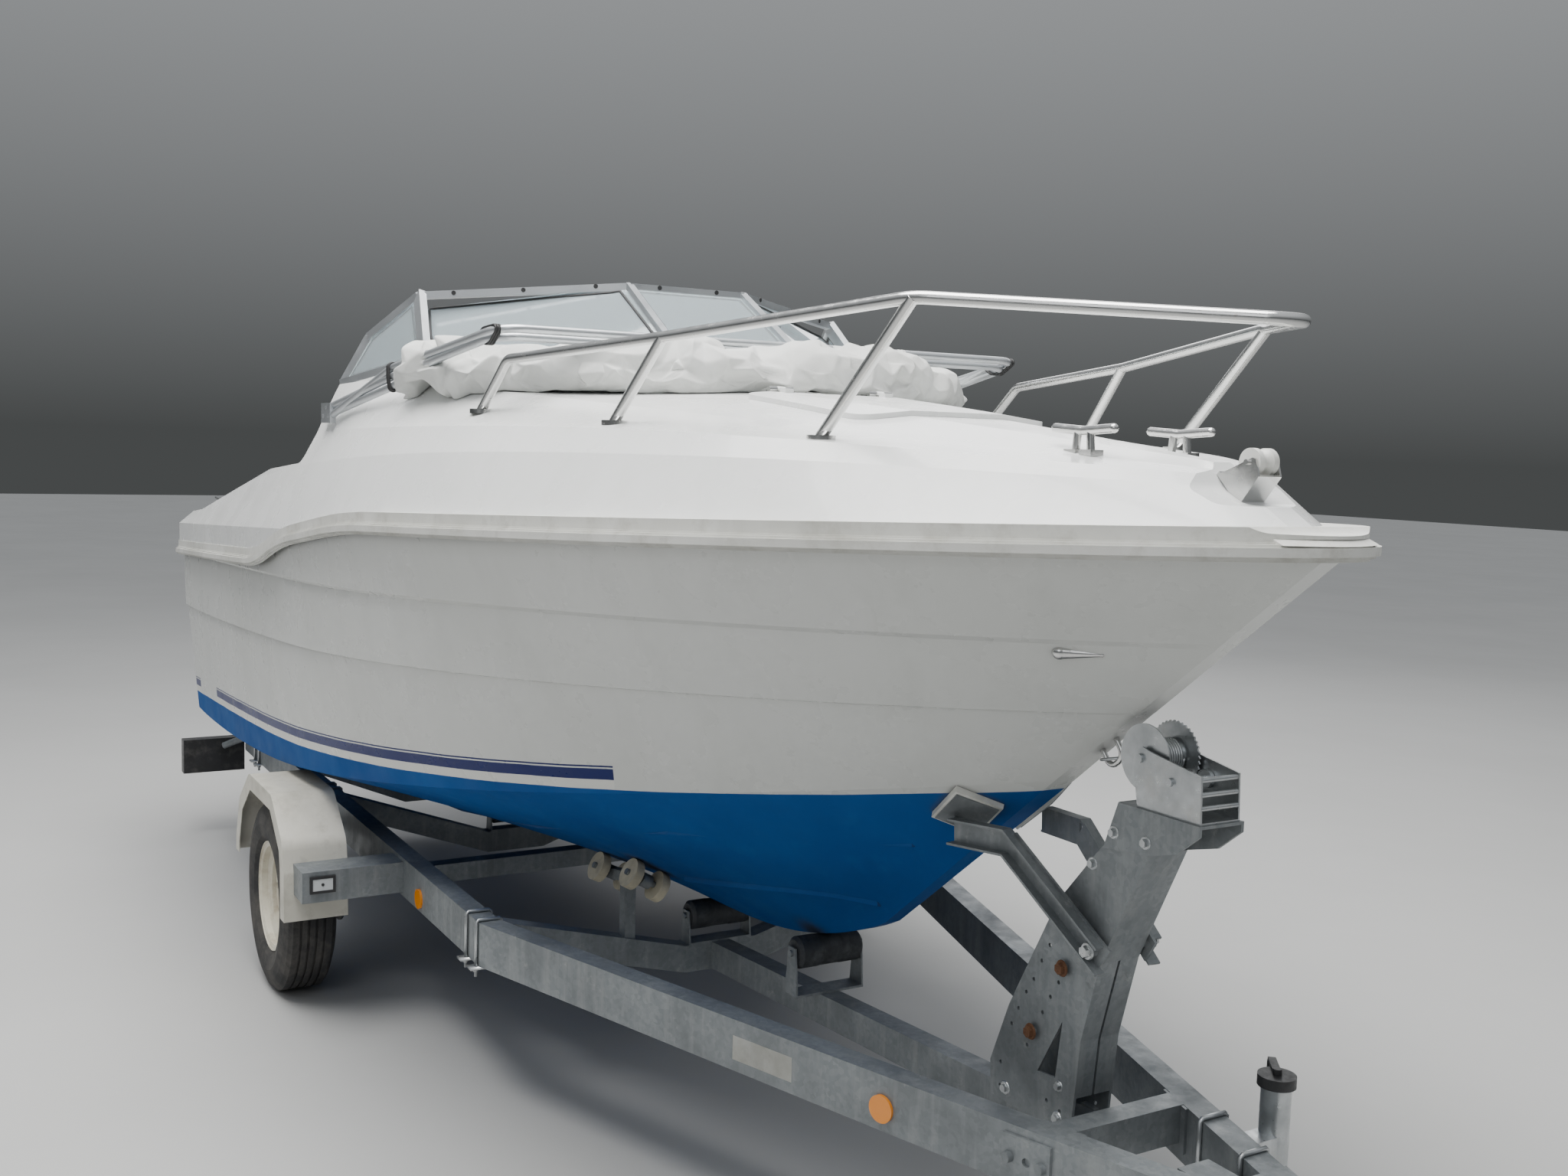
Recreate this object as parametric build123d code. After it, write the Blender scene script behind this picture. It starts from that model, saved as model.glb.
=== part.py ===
from build123d import *
import os
from math import atan2, cos, degrees, pi, radians, sin

# Cuddy-cabin speedboat standing on its single-axle road trailer.
# Millimetres. +X is the bow, +Y is port, +Z is up. While the pieces are made, the road
# wheels' axle is at x = 0 and the ground at z = 0. Writing them out moves the origin
# to the middle of the whole length.

# Boat: keel and stem
TRANSOM_KEEL_X = -1850
TRANSOM_RAKE = -0.17
KEEL_AFT_Z = 340
KEEL_SLOPE = 0.0455
FOREFOOT_X = 1200
FOREFOOT_POWER = 2.6
STEM_FOOT_X, STEM_FOOT_Z = 2040, 665
STEM_RUN, STEM_RISE = 1235, 970
STEM_HALF = 22
RAKE_STARTS_X = 100
RAKE_POWER = 2.4
HULL_STATIONS = 14

# Hull lines: half breadth, x where they start to close, x at the stem, fullness, sharpness,
# half breadth lost at the transom, height aft, height at the stem, power of the rise
CHINE = (982, -300, 2680, 2.0, 0.90, 20, 615, 1150, 1.80)
LAP = (1022, 100, 2870, 2.1, 0.85, 28, 1057, 1318, 1.22)
KNUCKLE = (1050, 200, 3075, 2.2, 0.80, 30, 1298, 1482, 1.10)
GUNWALE = (1072, 300, 3325, 2.3, 0.72, 48, 1520, 1690, 1.00)
LINES_AFT_X = -1950
LAP_STEP = 9
KNUCKLE_STEP, KNUCKLE_DROP = 14, 10
HULL_WALL = 60

# Joint of hull and deck: side view of the sheer, with the radius at each bend
SHEER = [(-2300, 1278), (-130, 1391), (260, 1485), (950, 1570), (4200, 1704)]
SHEER_RADII = [1600, 2600, 4500]
# Bands of the rub rail and of the deck's flange above it: low and high edge from the sheer, how far out
RAIL_BANDS = [(-17, 17, 8), (-13, 13, 14), (-8, 8, 20), (12, 42, 5)]

# Strakes under the hull: half breadth line as for the hull lines, x at both ends, width aft
STRAKES = [
    ((530, -300, 2450, 5.0, 1.27, 0), -1500, 2270, 34),
    ((215, 1330, 2120, 2.0, 0.85, 0), 1360, 2050, 30),
]
STRAKE_TIP, STRAKE_SUNK, STRAKE_STATIONS = 12, 6, 7

# Side view of the hollow in the deck's nose, where the anchor roller sits
NOSE_LINE = [(2985, 2000), (3030, 1820), (3070, 1765), (3125, 1738), (3205, 1735), (3262, 1697), (3420, 1693)]
NOSE_RADII = [12, 50, 60, 50, 40]

# Deck lines: half breadth, x where they start to close, x at the nose, fullness, sharpness,
# half breadth lost at the transom, x and height of the crown, drop aft, drop forward, power
CREASE = (990, 300, 3120, 2.3, 0.72, 30, 2250, 1793, 18.0, 33.0, 2.0)
EDGE = (944, 300, 3080, 2.3, 0.72, 30, 1750, 1847, 11.3, 33.0, 2.0)
ROOF = (902, 0, 3060, 1.6, 0.90, 20, 600, 1978, 30.0, 67.0, 1.1)
CROWN = (300, 0, 3060, 1.6, 0.90, 20, 600, 2012, 30.0, 62.8, 1.3)
SHOULDER_AFT_Z, SHOULDER_BEND_X, SHOULDER_BEND_Z = 1410, 400, 1530
DECK_AFT_X, NOSE_X, NOSE_Z, NOSE_RAKE, NOSE_HALF = -2010, 3318, 1648, -1.63, 30
NOSE_STARTS_X, NOSE_POWER = 1200, 3.2
DECK_SKIRT = 260
DECK_WALL = 36
DECK_STATIONS = 16
QUARTER = [(-2300, 1440), (-1600, 1490), (-350, 1690), (120, 1722), (205, 1935), (330, 2200)]
QUARTER_RADII = [500, 400, 60, 25]

# Cockpit, cabin and engine space
COCKPIT_AFT_X, COCKPIT_FORE_X, COCKPIT_HALF, COCKPIT_CORNER = -1780, 300, 800, 90
SOLE_Z = 800
BULKHEAD_THICK = 40
CABIN_SOLE_Z = 790
CABIN_HULL_END_X, CABIN_DECK_END_X = 2120, 2560
BULKHEAD_TOP_Z = 1900
DOOR_Y, DOOR_WIDE, DOOR_LOW_Z, DOOR_TOP_Z, DOOR_THICK = 130, 520, 850, 1840, 24
DOOR_GAP = 6
WELL_FORE_X, WELL_HALF, WELL_Z = -1080, 330, 630
TRANSOM_NOTCH_HALF, TRANSOM_NOTCH_Z = 560, 1392
SEAT_GAP = 0.3
BILGE_SKIN, BILGE_LINER = 30, 30

# Foredeck hatch
HATCH_X, HATCH_SIZE, HATCH_HOLE, HATCH_THICK = 1960, 540, 470, 12

# Helm
CONSOLE_Y, CONSOLE_WIDE, CONSOLE_LOW_Z, CONSOLE_TOP_Z = -480, 520, 1180, 1880
WHEEL_RADIUS, WHEEL_TUBE, WHEEL_LEAN = 175, 13, 28

# Windshield: sill height, glass thickness and corner places on the sill and on the top rail
SILL_Z = 2024
CURB_THICK = 34
SCREEN_AFT = (205, 874, 1962)
SCREEN_CORNER, SCREEN_CORNER_TOP = (690, 765), (489, 721, 2234)
SCREEN_POST, SCREEN_POST_TOP = (1240, 205), (826, 192, 2275)
SCREEN_BAR, SCREEN_BAR_DEEP, CORNER_BAR, GLASS = 28, 22, 46, 5

# Bow rail
RAIL_TUBE = 12.5
RAIL_FOOT = (1287, 800)
RAIL_BEND = (1447, 790, 2010)
RAIL_MID_TOP, RAIL_MID_FOOT = (2042, 657, 2044), (1869, 690)
RAIL_FORE_TOP, RAIL_FORE_FOOT = (2699, 462, 2099), (2424, 484)
RAIL_TIP = (3215, 0, 2058)
RAIL_FLANGE, RAIL_FLANGE_THICK = 30, 6

# Folded canopy
BOW_TUBE = 11
PIVOT = (285, 948, 1868)
BOW_CORNERS = [(1345, 800, 2088), (1382, 800, 2070), (1419, 800, 2088)]
BOW_GATHER = (790, 886, 1978)
BUNDLE = [(822, 815, 80, 50), (1045, 718, 118, 66), (1275, 500, 138, 74), (1445, 215, 142, 76)]

# Trailer frame
TRACK_HALF, TYRE_RADIUS, TYRE_WIDE = 990, 305, 175
RAIL_WIDE, RAIL_DEEP, RAIL_TOP_Z = 60, 120, 511
RAIL_Y, RAIL_AFT_X, RAIL_JOINT_X = 722, -2000, 1169
RAIL_TAPER = 0.3186
DRAWBAR_AFT_X, DRAWBAR_FORE_X, DRAWBAR_HALF, DRAWBAR_LOW_Z, DRAWBAR_TOP_Z = 3060, 3840, 40, 411, 491
BALL_X, BALL_RADIUS = 3960, 25.2
CROSS_X, CROSS_LONG, CROSS_DEEP = 2834, 56, 80
BEAM_WIDE, BEAM_DEEP = 60, 80
CROSSINGS = [(-1720, 480, 240), (-600, 490, 285), (1122, 500, 350)]
AXLE_TUBE_X, AXLE_TUBE = 140, 60
STUB_RADIUS = 17.5
KEEL_ROLLER_RADIUS, KEEL_ROLLER_HALF = 42, 95
ROLLER_PIN = 9
KEEL_ROLLER_GAP = 0.8


def block(x0, x1, y0, y1, z0, z1):
    """Box between two corners."""
    return Pos((x0 + x1) / 2, (y0 + y1) / 2, (z0 + z1) / 2) * Box(x1 - x0, y1 - y0, z1 - z0)


def rod(start, end, radius):
    """Round bar from one point to another."""
    start, end = Vector(*start), Vector(*end)
    along = end - start
    plane = Plane(origin=start, z_dir=along)
    return plane * Cylinder(radius, along.length, align=(Align.CENTER, Align.CENTER, Align.MIN))


def bar(start, end, wide, deep, face=(0, 0, 1)):
    """Square bar between two points, its depth along face as nearly as it can be."""
    start, end = Vector(*start), Vector(*end)
    along = (end - start).normalized()
    side = Vector(*face).cross(along).normalized()
    plane = Plane(origin=(start + end) / 2, x_dir=along, z_dir=along.cross(side))
    return plane * Box((end - start).length, wide, deep)


def tube(points, radii, radius):
    """Round tube along straight runs joined by arcs."""
    path = FilletPolyline(*points, radius=radii) if radii else Polyline(*points)
    start = Plane(origin=path @ 0, z_dir=path % 0)
    return sweep(start * Circle(radius), path=path)


def prism_xz(points, y0, y1):
    """Outline in the x-z plane, drawn out from y0 to y1."""
    face = make_face(Polyline(*[(x, 0, z) for x, z in points], close=True))
    solid = extrude(face, amount=y1 - y0, dir=(0, 1, 0))
    return Pos(0, y0, 0) * solid


def plan(line, x):
    """Half breadth of a line at x."""
    beam, close_x, tip_x, fullness, sharpness, aft_loss = line[:6]
    if x <= close_x:
        return beam - aft_loss * ((close_x - x) / (close_x - LINES_AFT_X)) ** 2
    share = min((x - close_x) / (tip_x - close_x), 1.0)
    return beam * (1 - share**fullness) ** sharpness


def hull_height(line, x):
    """Height of a hull line at x."""
    tip_x, low, high, power = line[2], line[6], line[7], line[8]
    share = min(max((x - LINES_AFT_X) / (tip_x - LINES_AFT_X), 0.0), 1.0)
    return low + (high - low) * share**power


def deck_height(line, x):
    """Height of a deck line at x."""
    crown_x, crown_z, drop_aft, drop_fore, power = line[6:]
    drop = drop_aft if x < crown_x else drop_fore
    return crown_z - drop * (abs(x - crown_x) / 1000) ** power


def keel_height(x):
    """Height of the keel at x."""
    straight = KEEL_AFT_Z + KEEL_SLOPE * (x - TRANSOM_KEEL_X)
    if x <= FOREFOOT_X:
        return straight
    lift = STEM_FOOT_Z - KEEL_AFT_Z - KEEL_SLOPE * (STEM_FOOT_X - TRANSOM_KEEL_X)
    return straight + lift * ((x - FOREFOOT_X) / (STEM_FOOT_X - FOREFOOT_X)) ** FOREFOOT_POWER


def hull_rake(x):
    """Lean of the station that stands on the keel at x, as x for each unit of z."""
    if x < RAKE_STARTS_X:
        return TRANSOM_RAKE * (RAKE_STARTS_X - x) / (RAKE_STARTS_X - TRANSOM_KEEL_X)
    share = (x - RAKE_STARTS_X) / (STEM_FOOT_X - RAKE_STARTS_X)
    return STEM_RUN / STEM_RISE * share**RAKE_POWER


def hull_section(keel_x, wall):
    """Closed outline of the hull across one station, a wall's thickness inside its skin."""
    rake, keel_z = hull_rake(keel_x), keel_height(keel_x)

    def crossing(line):
        z = hull_height(line, keel_x)
        for _ in range(30):
            x = keel_x + rake * (z - keel_z)
            z = hull_height(line, x)
        return max(plan(line, x) - wall, STEM_HALF), z

    chine, lap, knuckle, top = [crossing(line) for line in (CHINE, LAP, KNUCKLE, GUNWALE)]
    step = min(LAP_STEP, (lap[0] - STEM_HALF) / 12 + 1)
    ledge = min(KNUCKLE_STEP, (knuckle[0] - STEM_HALF) / 12 + 1)
    half = [(STEM_HALF, keel_z + wall), (chine[0], chine[1] + wall / 2), lap, (lap[0] + step, lap[1] + 3)]
    half += [(knuckle[0] - ledge, knuckle[1] - KNUCKLE_DROP), knuckle, top]
    outline = half + [(-y, z) for y, z in reversed(half)]
    return Wire.make_polygon([Vector(keel_x + rake * (z - keel_z), y, z) for y, z in outline], close=True)


def hull_body(wall=0.0):
    """Hull from keel to above the sheer, a wall's thickness inside its skin."""
    span = STEM_FOOT_X - TRANSOM_KEEL_X
    shares = [1 - (1 - i / (HULL_STATIONS - 1)) ** 1.35 for i in range(HULL_STATIONS)]
    return Solid.make_loft([hull_section(TRANSOM_KEEL_X + span * share, wall) for share in shares])


def shoulder_height(x):
    """Height where the deck's side turns inward."""
    if x < SHOULDER_BEND_X:
        share = (x - DECK_AFT_X) / (SHOULDER_BEND_X - DECK_AFT_X)
        return SHOULDER_AFT_Z + (SHOULDER_BEND_Z - SHOULDER_AFT_Z) * share
    share = (x - SHOULDER_BEND_X) / (NOSE_X - SHOULDER_BEND_X)
    return SHOULDER_BEND_Z + (NOSE_Z - SHOULDER_BEND_Z) * share


def deck_section(base_x, wall):
    """Closed outline of the deck across one station, a wall's thickness inside its skin."""
    share = max(0.0, (base_x - NOSE_STARTS_X) / (NOSE_X - NOSE_STARTS_X))
    rake = NOSE_RAKE * share**NOSE_POWER
    base_z = shoulder_height(base_x)

    def crossing(line):
        z = deck_height(line, base_x)
        for _ in range(30):
            x = base_x + rake * (z - base_z)
            z = deck_height(line, x)
        return max(plan(line, x), NOSE_HALF), z

    crease, edge, roof, crown = [crossing(line) for line in (CREASE, EDGE, ROOF, CROWN)]
    side = max(plan(GUNWALE, base_x), NOSE_HALF)
    half = [(side - wall, base_z - DECK_SKIRT), (side - wall, base_z)]
    half.append((crease[0] - wall, crease[1] - wall / 3))
    half += [(edge[0] - wall, edge[1] - wall * 0.7), (roof[0] - wall * 0.7, roof[1] - wall)]
    half += [(crown[0], crown[1] - wall)]
    if half[-1][0] > half[-2][0] - 6:
        half[-1] = (half[-2][0] - 6, half[-1][1])
    outline = half + [(-y, z) for y, z in reversed(half)]
    shift = -wall * share**6
    corners = [Vector(base_x + shift + rake * (z - base_z), y, z) for y, z in outline]
    return Wire.make_polygon(corners, close=True)


def deck_body(wall=0.0):
    """Deck moulding from below the sheer to the coachroof, a wall's thickness inside its skin."""
    span = NOSE_X - DECK_AFT_X
    shares = [1 - (1 - i / (DECK_STATIONS - 1)) ** 1.25 for i in range(DECK_STATIONS)]
    return Solid.make_loft([deck_section(DECK_AFT_X + span * share, wall) for share in shares])


def under_line(points, radii, shift, floor_z):
    """Everything under a side-view line with rounded bends."""
    line = FilletPolyline(*[(x, 0, z + shift) for x, z in points], radius=radii)
    ends = [line @ 1, (points[-1][0], 0, floor_z), (points[0][0], 0, floor_z), line @ 0]
    face = make_face(Curve() + [line, Polyline(*ends)])
    return Pos(0, -1500, 0) * extrude(face, amount=3000, dir=(0, 1, 0))


def rounded_slab(x0, x1, half, corner, z0, z1):
    """Upright prism on a rectangle with rounded corners."""
    face = RectangleRounded(x1 - x0, 2 * half, corner)
    return Pos((x0 + x1) / 2, 0, z0) * extrude(face, amount=z1 - z0)


def write(name, shape):
    """Keep a piece under its node's name."""
    solids = []
    for item in shape if isinstance(shape, (list, tuple)) else [shape]:
        solids += item.solids()
    nodes[name] = solids[0] if len(solids) == 1 else Compound(children=solids)


nodes = {}

# Boat mouldings
hull_block = hull_body()
deck_block = deck_body()
below_sheer = under_line(SHEER, SHEER_RADII, 0, 0)
cockpit = rounded_slab(COCKPIT_AFT_X, COCKPIT_FORE_X, COCKPIT_HALF, COCKPIT_CORNER, SOLE_Z, 2300)
cockpit += block(COCKPIT_FORE_X - 200, COCKPIT_FORE_X, -COCKPIT_HALF, COCKPIT_HALF, SOLE_Z, 2300)
well = block(COCKPIT_AFT_X, WELL_FORE_X, -WELL_HALF, WELL_HALF, WELL_Z, SOLE_Z + 1)
bulkhead_x = COCKPIT_FORE_X + BULKHEAD_THICK
bulkhead = block(COCKPIT_FORE_X, bulkhead_x, -COCKPIT_HALF, COCKPIT_HALF, SOLE_Z, BULKHEAD_TOP_Z)
doorway = block(
    COCKPIT_FORE_X - 1, bulkhead_x + 1, DOOR_Y - DOOR_WIDE / 2, DOOR_Y + DOOR_WIDE / 2, DOOR_LOW_Z, DOOR_TOP_Z
)
cabin_box = block(bulkhead_x, CABIN_HULL_END_X, -1200, 1200, CABIN_SOLE_Z, 1800)
cabin_in_hull = hull_body(HULL_WALL) & cabin_box
cabin_in_deck = deck_body(DECK_WALL) & block(bulkhead_x, CABIN_DECK_END_X, -1200, 1200, 1300, 2100)

hull = (hull_block & below_sheer) - cockpit - well - cabin_in_hull - bulkhead

# The bilge: the hull is hollow under the sole and behind the cockpit's side panels
bilge_fore_x = COCKPIT_FORE_X - BILGE_LINER
bilge_aft = [(TRANSOM_KEEL_X + 2 * BILGE_SKIN + TRANSOM_RAKE * (z - KEEL_AFT_Z), z) for z in (200, 1700)]
bilge = prism_xz([bilge_aft[0], (bilge_fore_x, 200), (bilge_fore_x, 1700), bilge_aft[1]], -1300, 1300)
bilge &= under_line(SHEER, SHEER_RADII, -2 * BILGE_SKIN, 0)
bilge -= rounded_slab(
    COCKPIT_AFT_X - BILGE_LINER,
    COCKPIT_FORE_X,
    COCKPIT_HALF + BILGE_LINER,
    COCKPIT_CORNER,
    SOLE_Z - BILGE_LINER,
    2300,
)
bilge -= block(
    COCKPIT_AFT_X - BILGE_LINER,
    WELL_FORE_X + BILGE_LINER,
    -WELL_HALF - BILGE_LINER,
    WELL_HALF + BILGE_LINER,
    WELL_Z - BILGE_LINER,
    SOLE_Z,
)
hull -= hull_body(BILGE_SKIN) & bilge
quarter_cut = block(-2400, 400, -1300, 1300, 1000, 2400) - under_line(QUARTER, QUARTER_RADII, 0, 900)
quarter_cut -= block(330, 500, -1300, 1300, 900, 2400)
notch = block(-2400, COCKPIT_AFT_X + 200, -TRANSOM_NOTCH_HALF, TRANSOM_NOTCH_HALF, TRANSOM_NOTCH_Z, 2300)
deck = deck_block - below_sheer - cabin_in_deck - cockpit - bulkhead - quarter_cut - notch
write("deck", deck)
write("cabin_bulkhead", bulkhead - doorway)

# Foredeck hatch: a lid that follows the deck, over its hole
hatch_lid = (deck_body(-HATCH_THICK) - deck_body(-SEAT_GAP)) & rounded_slab(
    HATCH_X - HATCH_SIZE / 2, HATCH_X + HATCH_SIZE / 2, HATCH_SIZE / 2, 50, 1700, 2300
)
write("foredeck_hatch", hatch_lid)
hatch_hole = rounded_slab(HATCH_X - HATCH_HOLE / 2, HATCH_X + HATCH_HOLE / 2, HATCH_HOLE / 2, 40, 1700, 2300)
deck -= hatch_hole


def deck_top(x, y):
    """Height of the deck's skin over one point."""
    hits = [z for face in deck_block.faces() for z in ray_heights(face, x, y)]
    return max(hits)


def hull_under(x, y):
    """Height of the hull's skin over one point of the ground."""
    hits = [z for face in hull_block.faces() for z in ray_heights(face, x, y)]
    return min(hits)


def ray_heights(face, x, y):
    line = Edge.make_line((x, y, 0), (x, y, 3000))
    found = face.intersect(line)
    if not found:
        return []
    return [v.Z for item in found for v in item.vertices()]


def strake(line, aft_x, fore_x, wide, side):
    """Spray strake: a level underside that narrows forward, its root inside the skin."""
    sections = []
    for i in range(STRAKE_STATIONS):
        share = i / (STRAKE_STATIONS - 1)
        x = aft_x + (fore_x - aft_x) * share
        half_wide = (wide + (STRAKE_TIP - wide) * share) / 2
        inner, outer = plan(line, x) - half_wide, plan(line, x) + half_wide
        inner_z, outer_z = hull_under(x, inner), hull_under(x, outer)
        low_z = inner_z + (outer_z - inner_z) * 0.25
        outline = [(inner, inner_z + 1), (outer, low_z), (outer, outer_z + STRAKE_SUNK)]
        outline.append((inner, inner_z + STRAKE_SUNK + 2))
        sections.append(Wire.make_polygon([Vector(x, side * y, z) for y, z in outline], close=True))
    return Solid.make_loft(sections, True)


for line, aft_x, fore_x, wide in STRAKES:
    for side in (1, -1):
        hull += strake(line, aft_x, fore_x, wide, side)
write("hull", hull)


def nose_hollow(shift):
    """Everything above the hollow in the deck's nose."""
    return block(2990, 3400, -400, 400, 1600, 1980) - under_line(NOSE_LINE, NOSE_RADII, shift, 1500)


deck -= nose_hollow(0)

# Windshield: a curb moulded in the deck, glass panes in an aluminium frame
def mid(a, b, share=0.5):
    return tuple(p + (q - p) * share for p, q in zip(a, b))


screen_low = [
    SCREEN_AFT,
    (SCREEN_CORNER[0], SCREEN_CORNER[1], SILL_Z),
    (SCREEN_POST[0], SCREEN_POST[1], SILL_Z),
]
screen_high = [SCREEN_CORNER_TOP, SCREEN_POST_TOP]


def flip(point):
    return (point[0], -point[1], point[2])


CURB_FOOT_Z = 1900


def curb(a, b):
    """Wall of the deck that carries the sill between two points."""
    along = Vector(b[0] - a[0], b[1] - a[1], 0).normalized()
    side = Vector(-along.Y, along.X, 0) * (CURB_THICK / 2)
    wires = []
    for x, y, z in (a, b):
        corners = [(x + side.X, y + side.Y, CURB_FOOT_Z), (x - side.X, y - side.Y, CURB_FOOT_Z)]
        corners += [(x - side.X, y - side.Y, z), (x + side.X, y + side.Y, z)]
        wires.append(Wire.make_polygon([Vector(*c) for c in corners], close=True))
    return Solid.make_loft(wires, True)


low, high = screen_low, screen_high
curbs = [curb(low[0], low[1]), curb(low[1], low[2]), curb(low[2], flip(low[2]))]
curbs += [curb(flip(low[2]), flip(low[1])), curb(flip(low[1]), flip(low[0]))]
for x, y, z in low[1:] + [flip(q) for q in low[1:]]:
    stand = Cylinder(CURB_THICK / 2, z - CURB_FOOT_Z, align=(Align.CENTER, Align.CENTER, Align.MIN))
    curbs.append(Pos(x, y, CURB_FOOT_Z) * stand)
for wall in curbs:
    deck += wall
write("deck", deck)


def lift(point, by):
    return (point[0], point[1], point[2] + by)


bar_half = SCREEN_BAR_DEEP / 2 + SEAT_GAP
sill = [lift(q, bar_half) for q in low]
frame_bars = []
for sign in (1, -1):
    turn = (lambda q: q) if sign > 0 else flip
    frame_bars.append(bar(turn(sill[0]), turn(sill[1]), SCREEN_BAR, SCREEN_BAR_DEEP))
    frame_bars.append(bar(turn(sill[1]), turn(sill[2]), SCREEN_BAR, SCREEN_BAR_DEEP))
    frame_bars.append(bar(turn(sill[1]), turn(high[0]), SCREEN_BAR_DEEP, CORNER_BAR, (1, 0, 0)))
    frame_bars.append(bar(turn(sill[2]), turn(high[1]), SCREEN_BAR_DEEP, SCREEN_BAR, (1, 0, 0)))
    frame_bars.append(bar(turn(high[0]), turn(high[1]), SCREEN_BAR, SCREEN_BAR_DEEP))
    side_rail = [sill[0], mid(sill[0], high[0], 0.42), high[0]]
    side_rail[1] = (side_rail[1][0] - 62, side_rail[1][1], side_rail[1][2] + 34)
    for a, b in zip(side_rail, side_rail[1:]):
        frame_bars.append(bar(turn(a), turn(b), SCREEN_BAR_DEEP, SCREEN_BAR_DEEP))
frame_bars.append(bar(sill[2], flip(sill[2]), SCREEN_BAR, SCREEN_BAR_DEEP))
frame_bars.append(bar(high[1], flip(high[1]), SCREEN_BAR, SCREEN_BAR_DEEP))
screen_frame = frame_bars[0]
for item in frame_bars[1:]:
    screen_frame += item
corner_balls = [lift(q, 1.6) for q in (sill[0], sill[1], sill[2], high[0], high[1], side_rail[1])]
for point in corner_balls + [flip(q) for q in corner_balls]:
    screen_frame += Pos(*point) * Sphere(SCREEN_BAR_DEEP / 2 + 1.2)
screen_frame -= deck
write("windshield_frame", max(screen_frame.solids(), key=lambda q: q.volume))


def pane(*corners):
    """Thin flat pane through its first three corners."""
    a, b, c = [Vector(*q) for q in corners[:3]]
    normal = (b - a).cross(c - a).normalized()
    flat = [Vector(*q) - normal * (Vector(*q) - a).dot(normal) for q in corners]
    face = make_face(Polyline(*flat, close=True))
    return Pos(*(normal * (-GLASS / 2))) * extrude(face, amount=GLASS, dir=tuple(normal))


panes = []
for turn in (lambda q: q, flip):
    panes.append(pane(turn(sill[1]), turn(sill[2]), turn(high[1]), turn(high[0])))
    panes.append(pane(turn(sill[0]), turn(sill[1]), turn(high[0]), turn(side_rail[1])))
panes.append(pane(sill[2], flip(sill[2]), flip(high[1]), high[1]))
write("windshield_glass", [max((item - screen_frame).solids(), key=lambda q: q.volume) for item in panes])

# Rub rail round the joint of hull and deck, with the deck's flange above it
def plan_slab(out):
    """Upright slab on the boat's plan at the sheer, a little wider all round."""
    xs = [NOSE_X + out - (NOSE_X - DECK_AFT_X) * (i / 15) ** 1.8 for i in range(16)]
    side = [(x, max(plan(GUNWALE, x - out), NOSE_HALF * 0.6) + out) for x in xs]
    side[0] = (NOSE_X + out, 0)
    whole = [(x, -y) for x, y in reversed(side)] + side[1:]
    edge = Spline(*whole)
    face = make_face(Curve() + [edge, Line(edge @ 1, edge @ 0)])
    return Pos(0, 0, 1000) * extrude(face, amount=1000)


def sheer_band(low_shift, high_shift, out):
    """Slab between two side-view lines, on the widened plan."""
    band = under_line(SHEER, SHEER_RADII, high_shift, 0) - under_line(SHEER, SHEER_RADII, low_shift, -50)
    return plan_slab(out) & band


rub_rail = None
for low_shift, high_shift, out in RAIL_BANDS:
    step = sheer_band(low_shift, high_shift, out)
    rub_rail = step if rub_rail is None else rub_rail + step
rub_rail = rub_rail - deck_block - hull_block - nose_hollow(0)
write("rub_rail", [item for item in rub_rail.solids() if item.volume > 2e5])

# Bow rail: one bent tube with four stanchions, each on a round foot
rail_foot_z = deck_top(*RAIL_FOOT)
half_rail = [(RAIL_FOOT[0], RAIL_FOOT[1], rail_foot_z + 3), RAIL_BEND, RAIL_MID_TOP, RAIL_FORE_TOP]
rail_points = half_rail + [RAIL_TIP] + [flip(q) for q in reversed(half_rail)]
bow_rail = tube(rail_points, [60, 400, 120, 60, 120, 400, 60], RAIL_TUBE)
for top, foot in ((RAIL_MID_TOP, RAIL_MID_FOOT), (RAIL_FORE_TOP, RAIL_FORE_FOOT)):
    foot_z = deck_top(*foot)
    for turn in (lambda q: q, flip):
        bow_rail += rod(turn((foot[0], foot[1], foot_z + 3)), turn(top), RAIL_TUBE)
feet = [RAIL_FOOT, RAIL_MID_FOOT, RAIL_FORE_FOOT]
for x, y in feet + [(x, -y) for x, y in feet]:
    z = deck_top(x, y)
    bow_rail += Pos(x, y, z) * Cylinder(RAIL_FLANGE, 2 * RAIL_FLANGE_THICK)
write("bow_rail", bow_rail - deck_body(-SEAT_GAP))

# Horn cleats: a pair forward and a pair on the quarters
CLEAT_SPOTS = [(2800, 125), (-1700, 905)]
CLEAT_LONG, CLEAT_HORN, CLEAT_HIGH = 165, 9, 42


def cleat(x, y, z):
    """Cleat with two feet and a pair of horns, standing on a flat pad."""
    horns = rod((x - CLEAT_LONG / 2, y, z + CLEAT_HIGH + 5), (x, y, z + CLEAT_HIGH), CLEAT_HORN)
    horns += rod((x, y, z + CLEAT_HIGH), (x + CLEAT_LONG / 2, y, z + CLEAT_HIGH + 5), CLEAT_HORN)
    horns += Pos(x - CLEAT_LONG / 2, y, z + CLEAT_HIGH + 5) * Sphere(CLEAT_HORN)
    horns += Pos(x + CLEAT_LONG / 2, y, z + CLEAT_HIGH + 5) * Sphere(CLEAT_HORN)
    for shift in (-22, 22):
        horns += rod((x + shift, y, z), (x + shift * 0.8, y, z + CLEAT_HIGH), 8)
        horns += block(x + shift - 17, x + shift + 17, y - 16, y + 16, z - 8, z + 6)
    return horns


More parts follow.
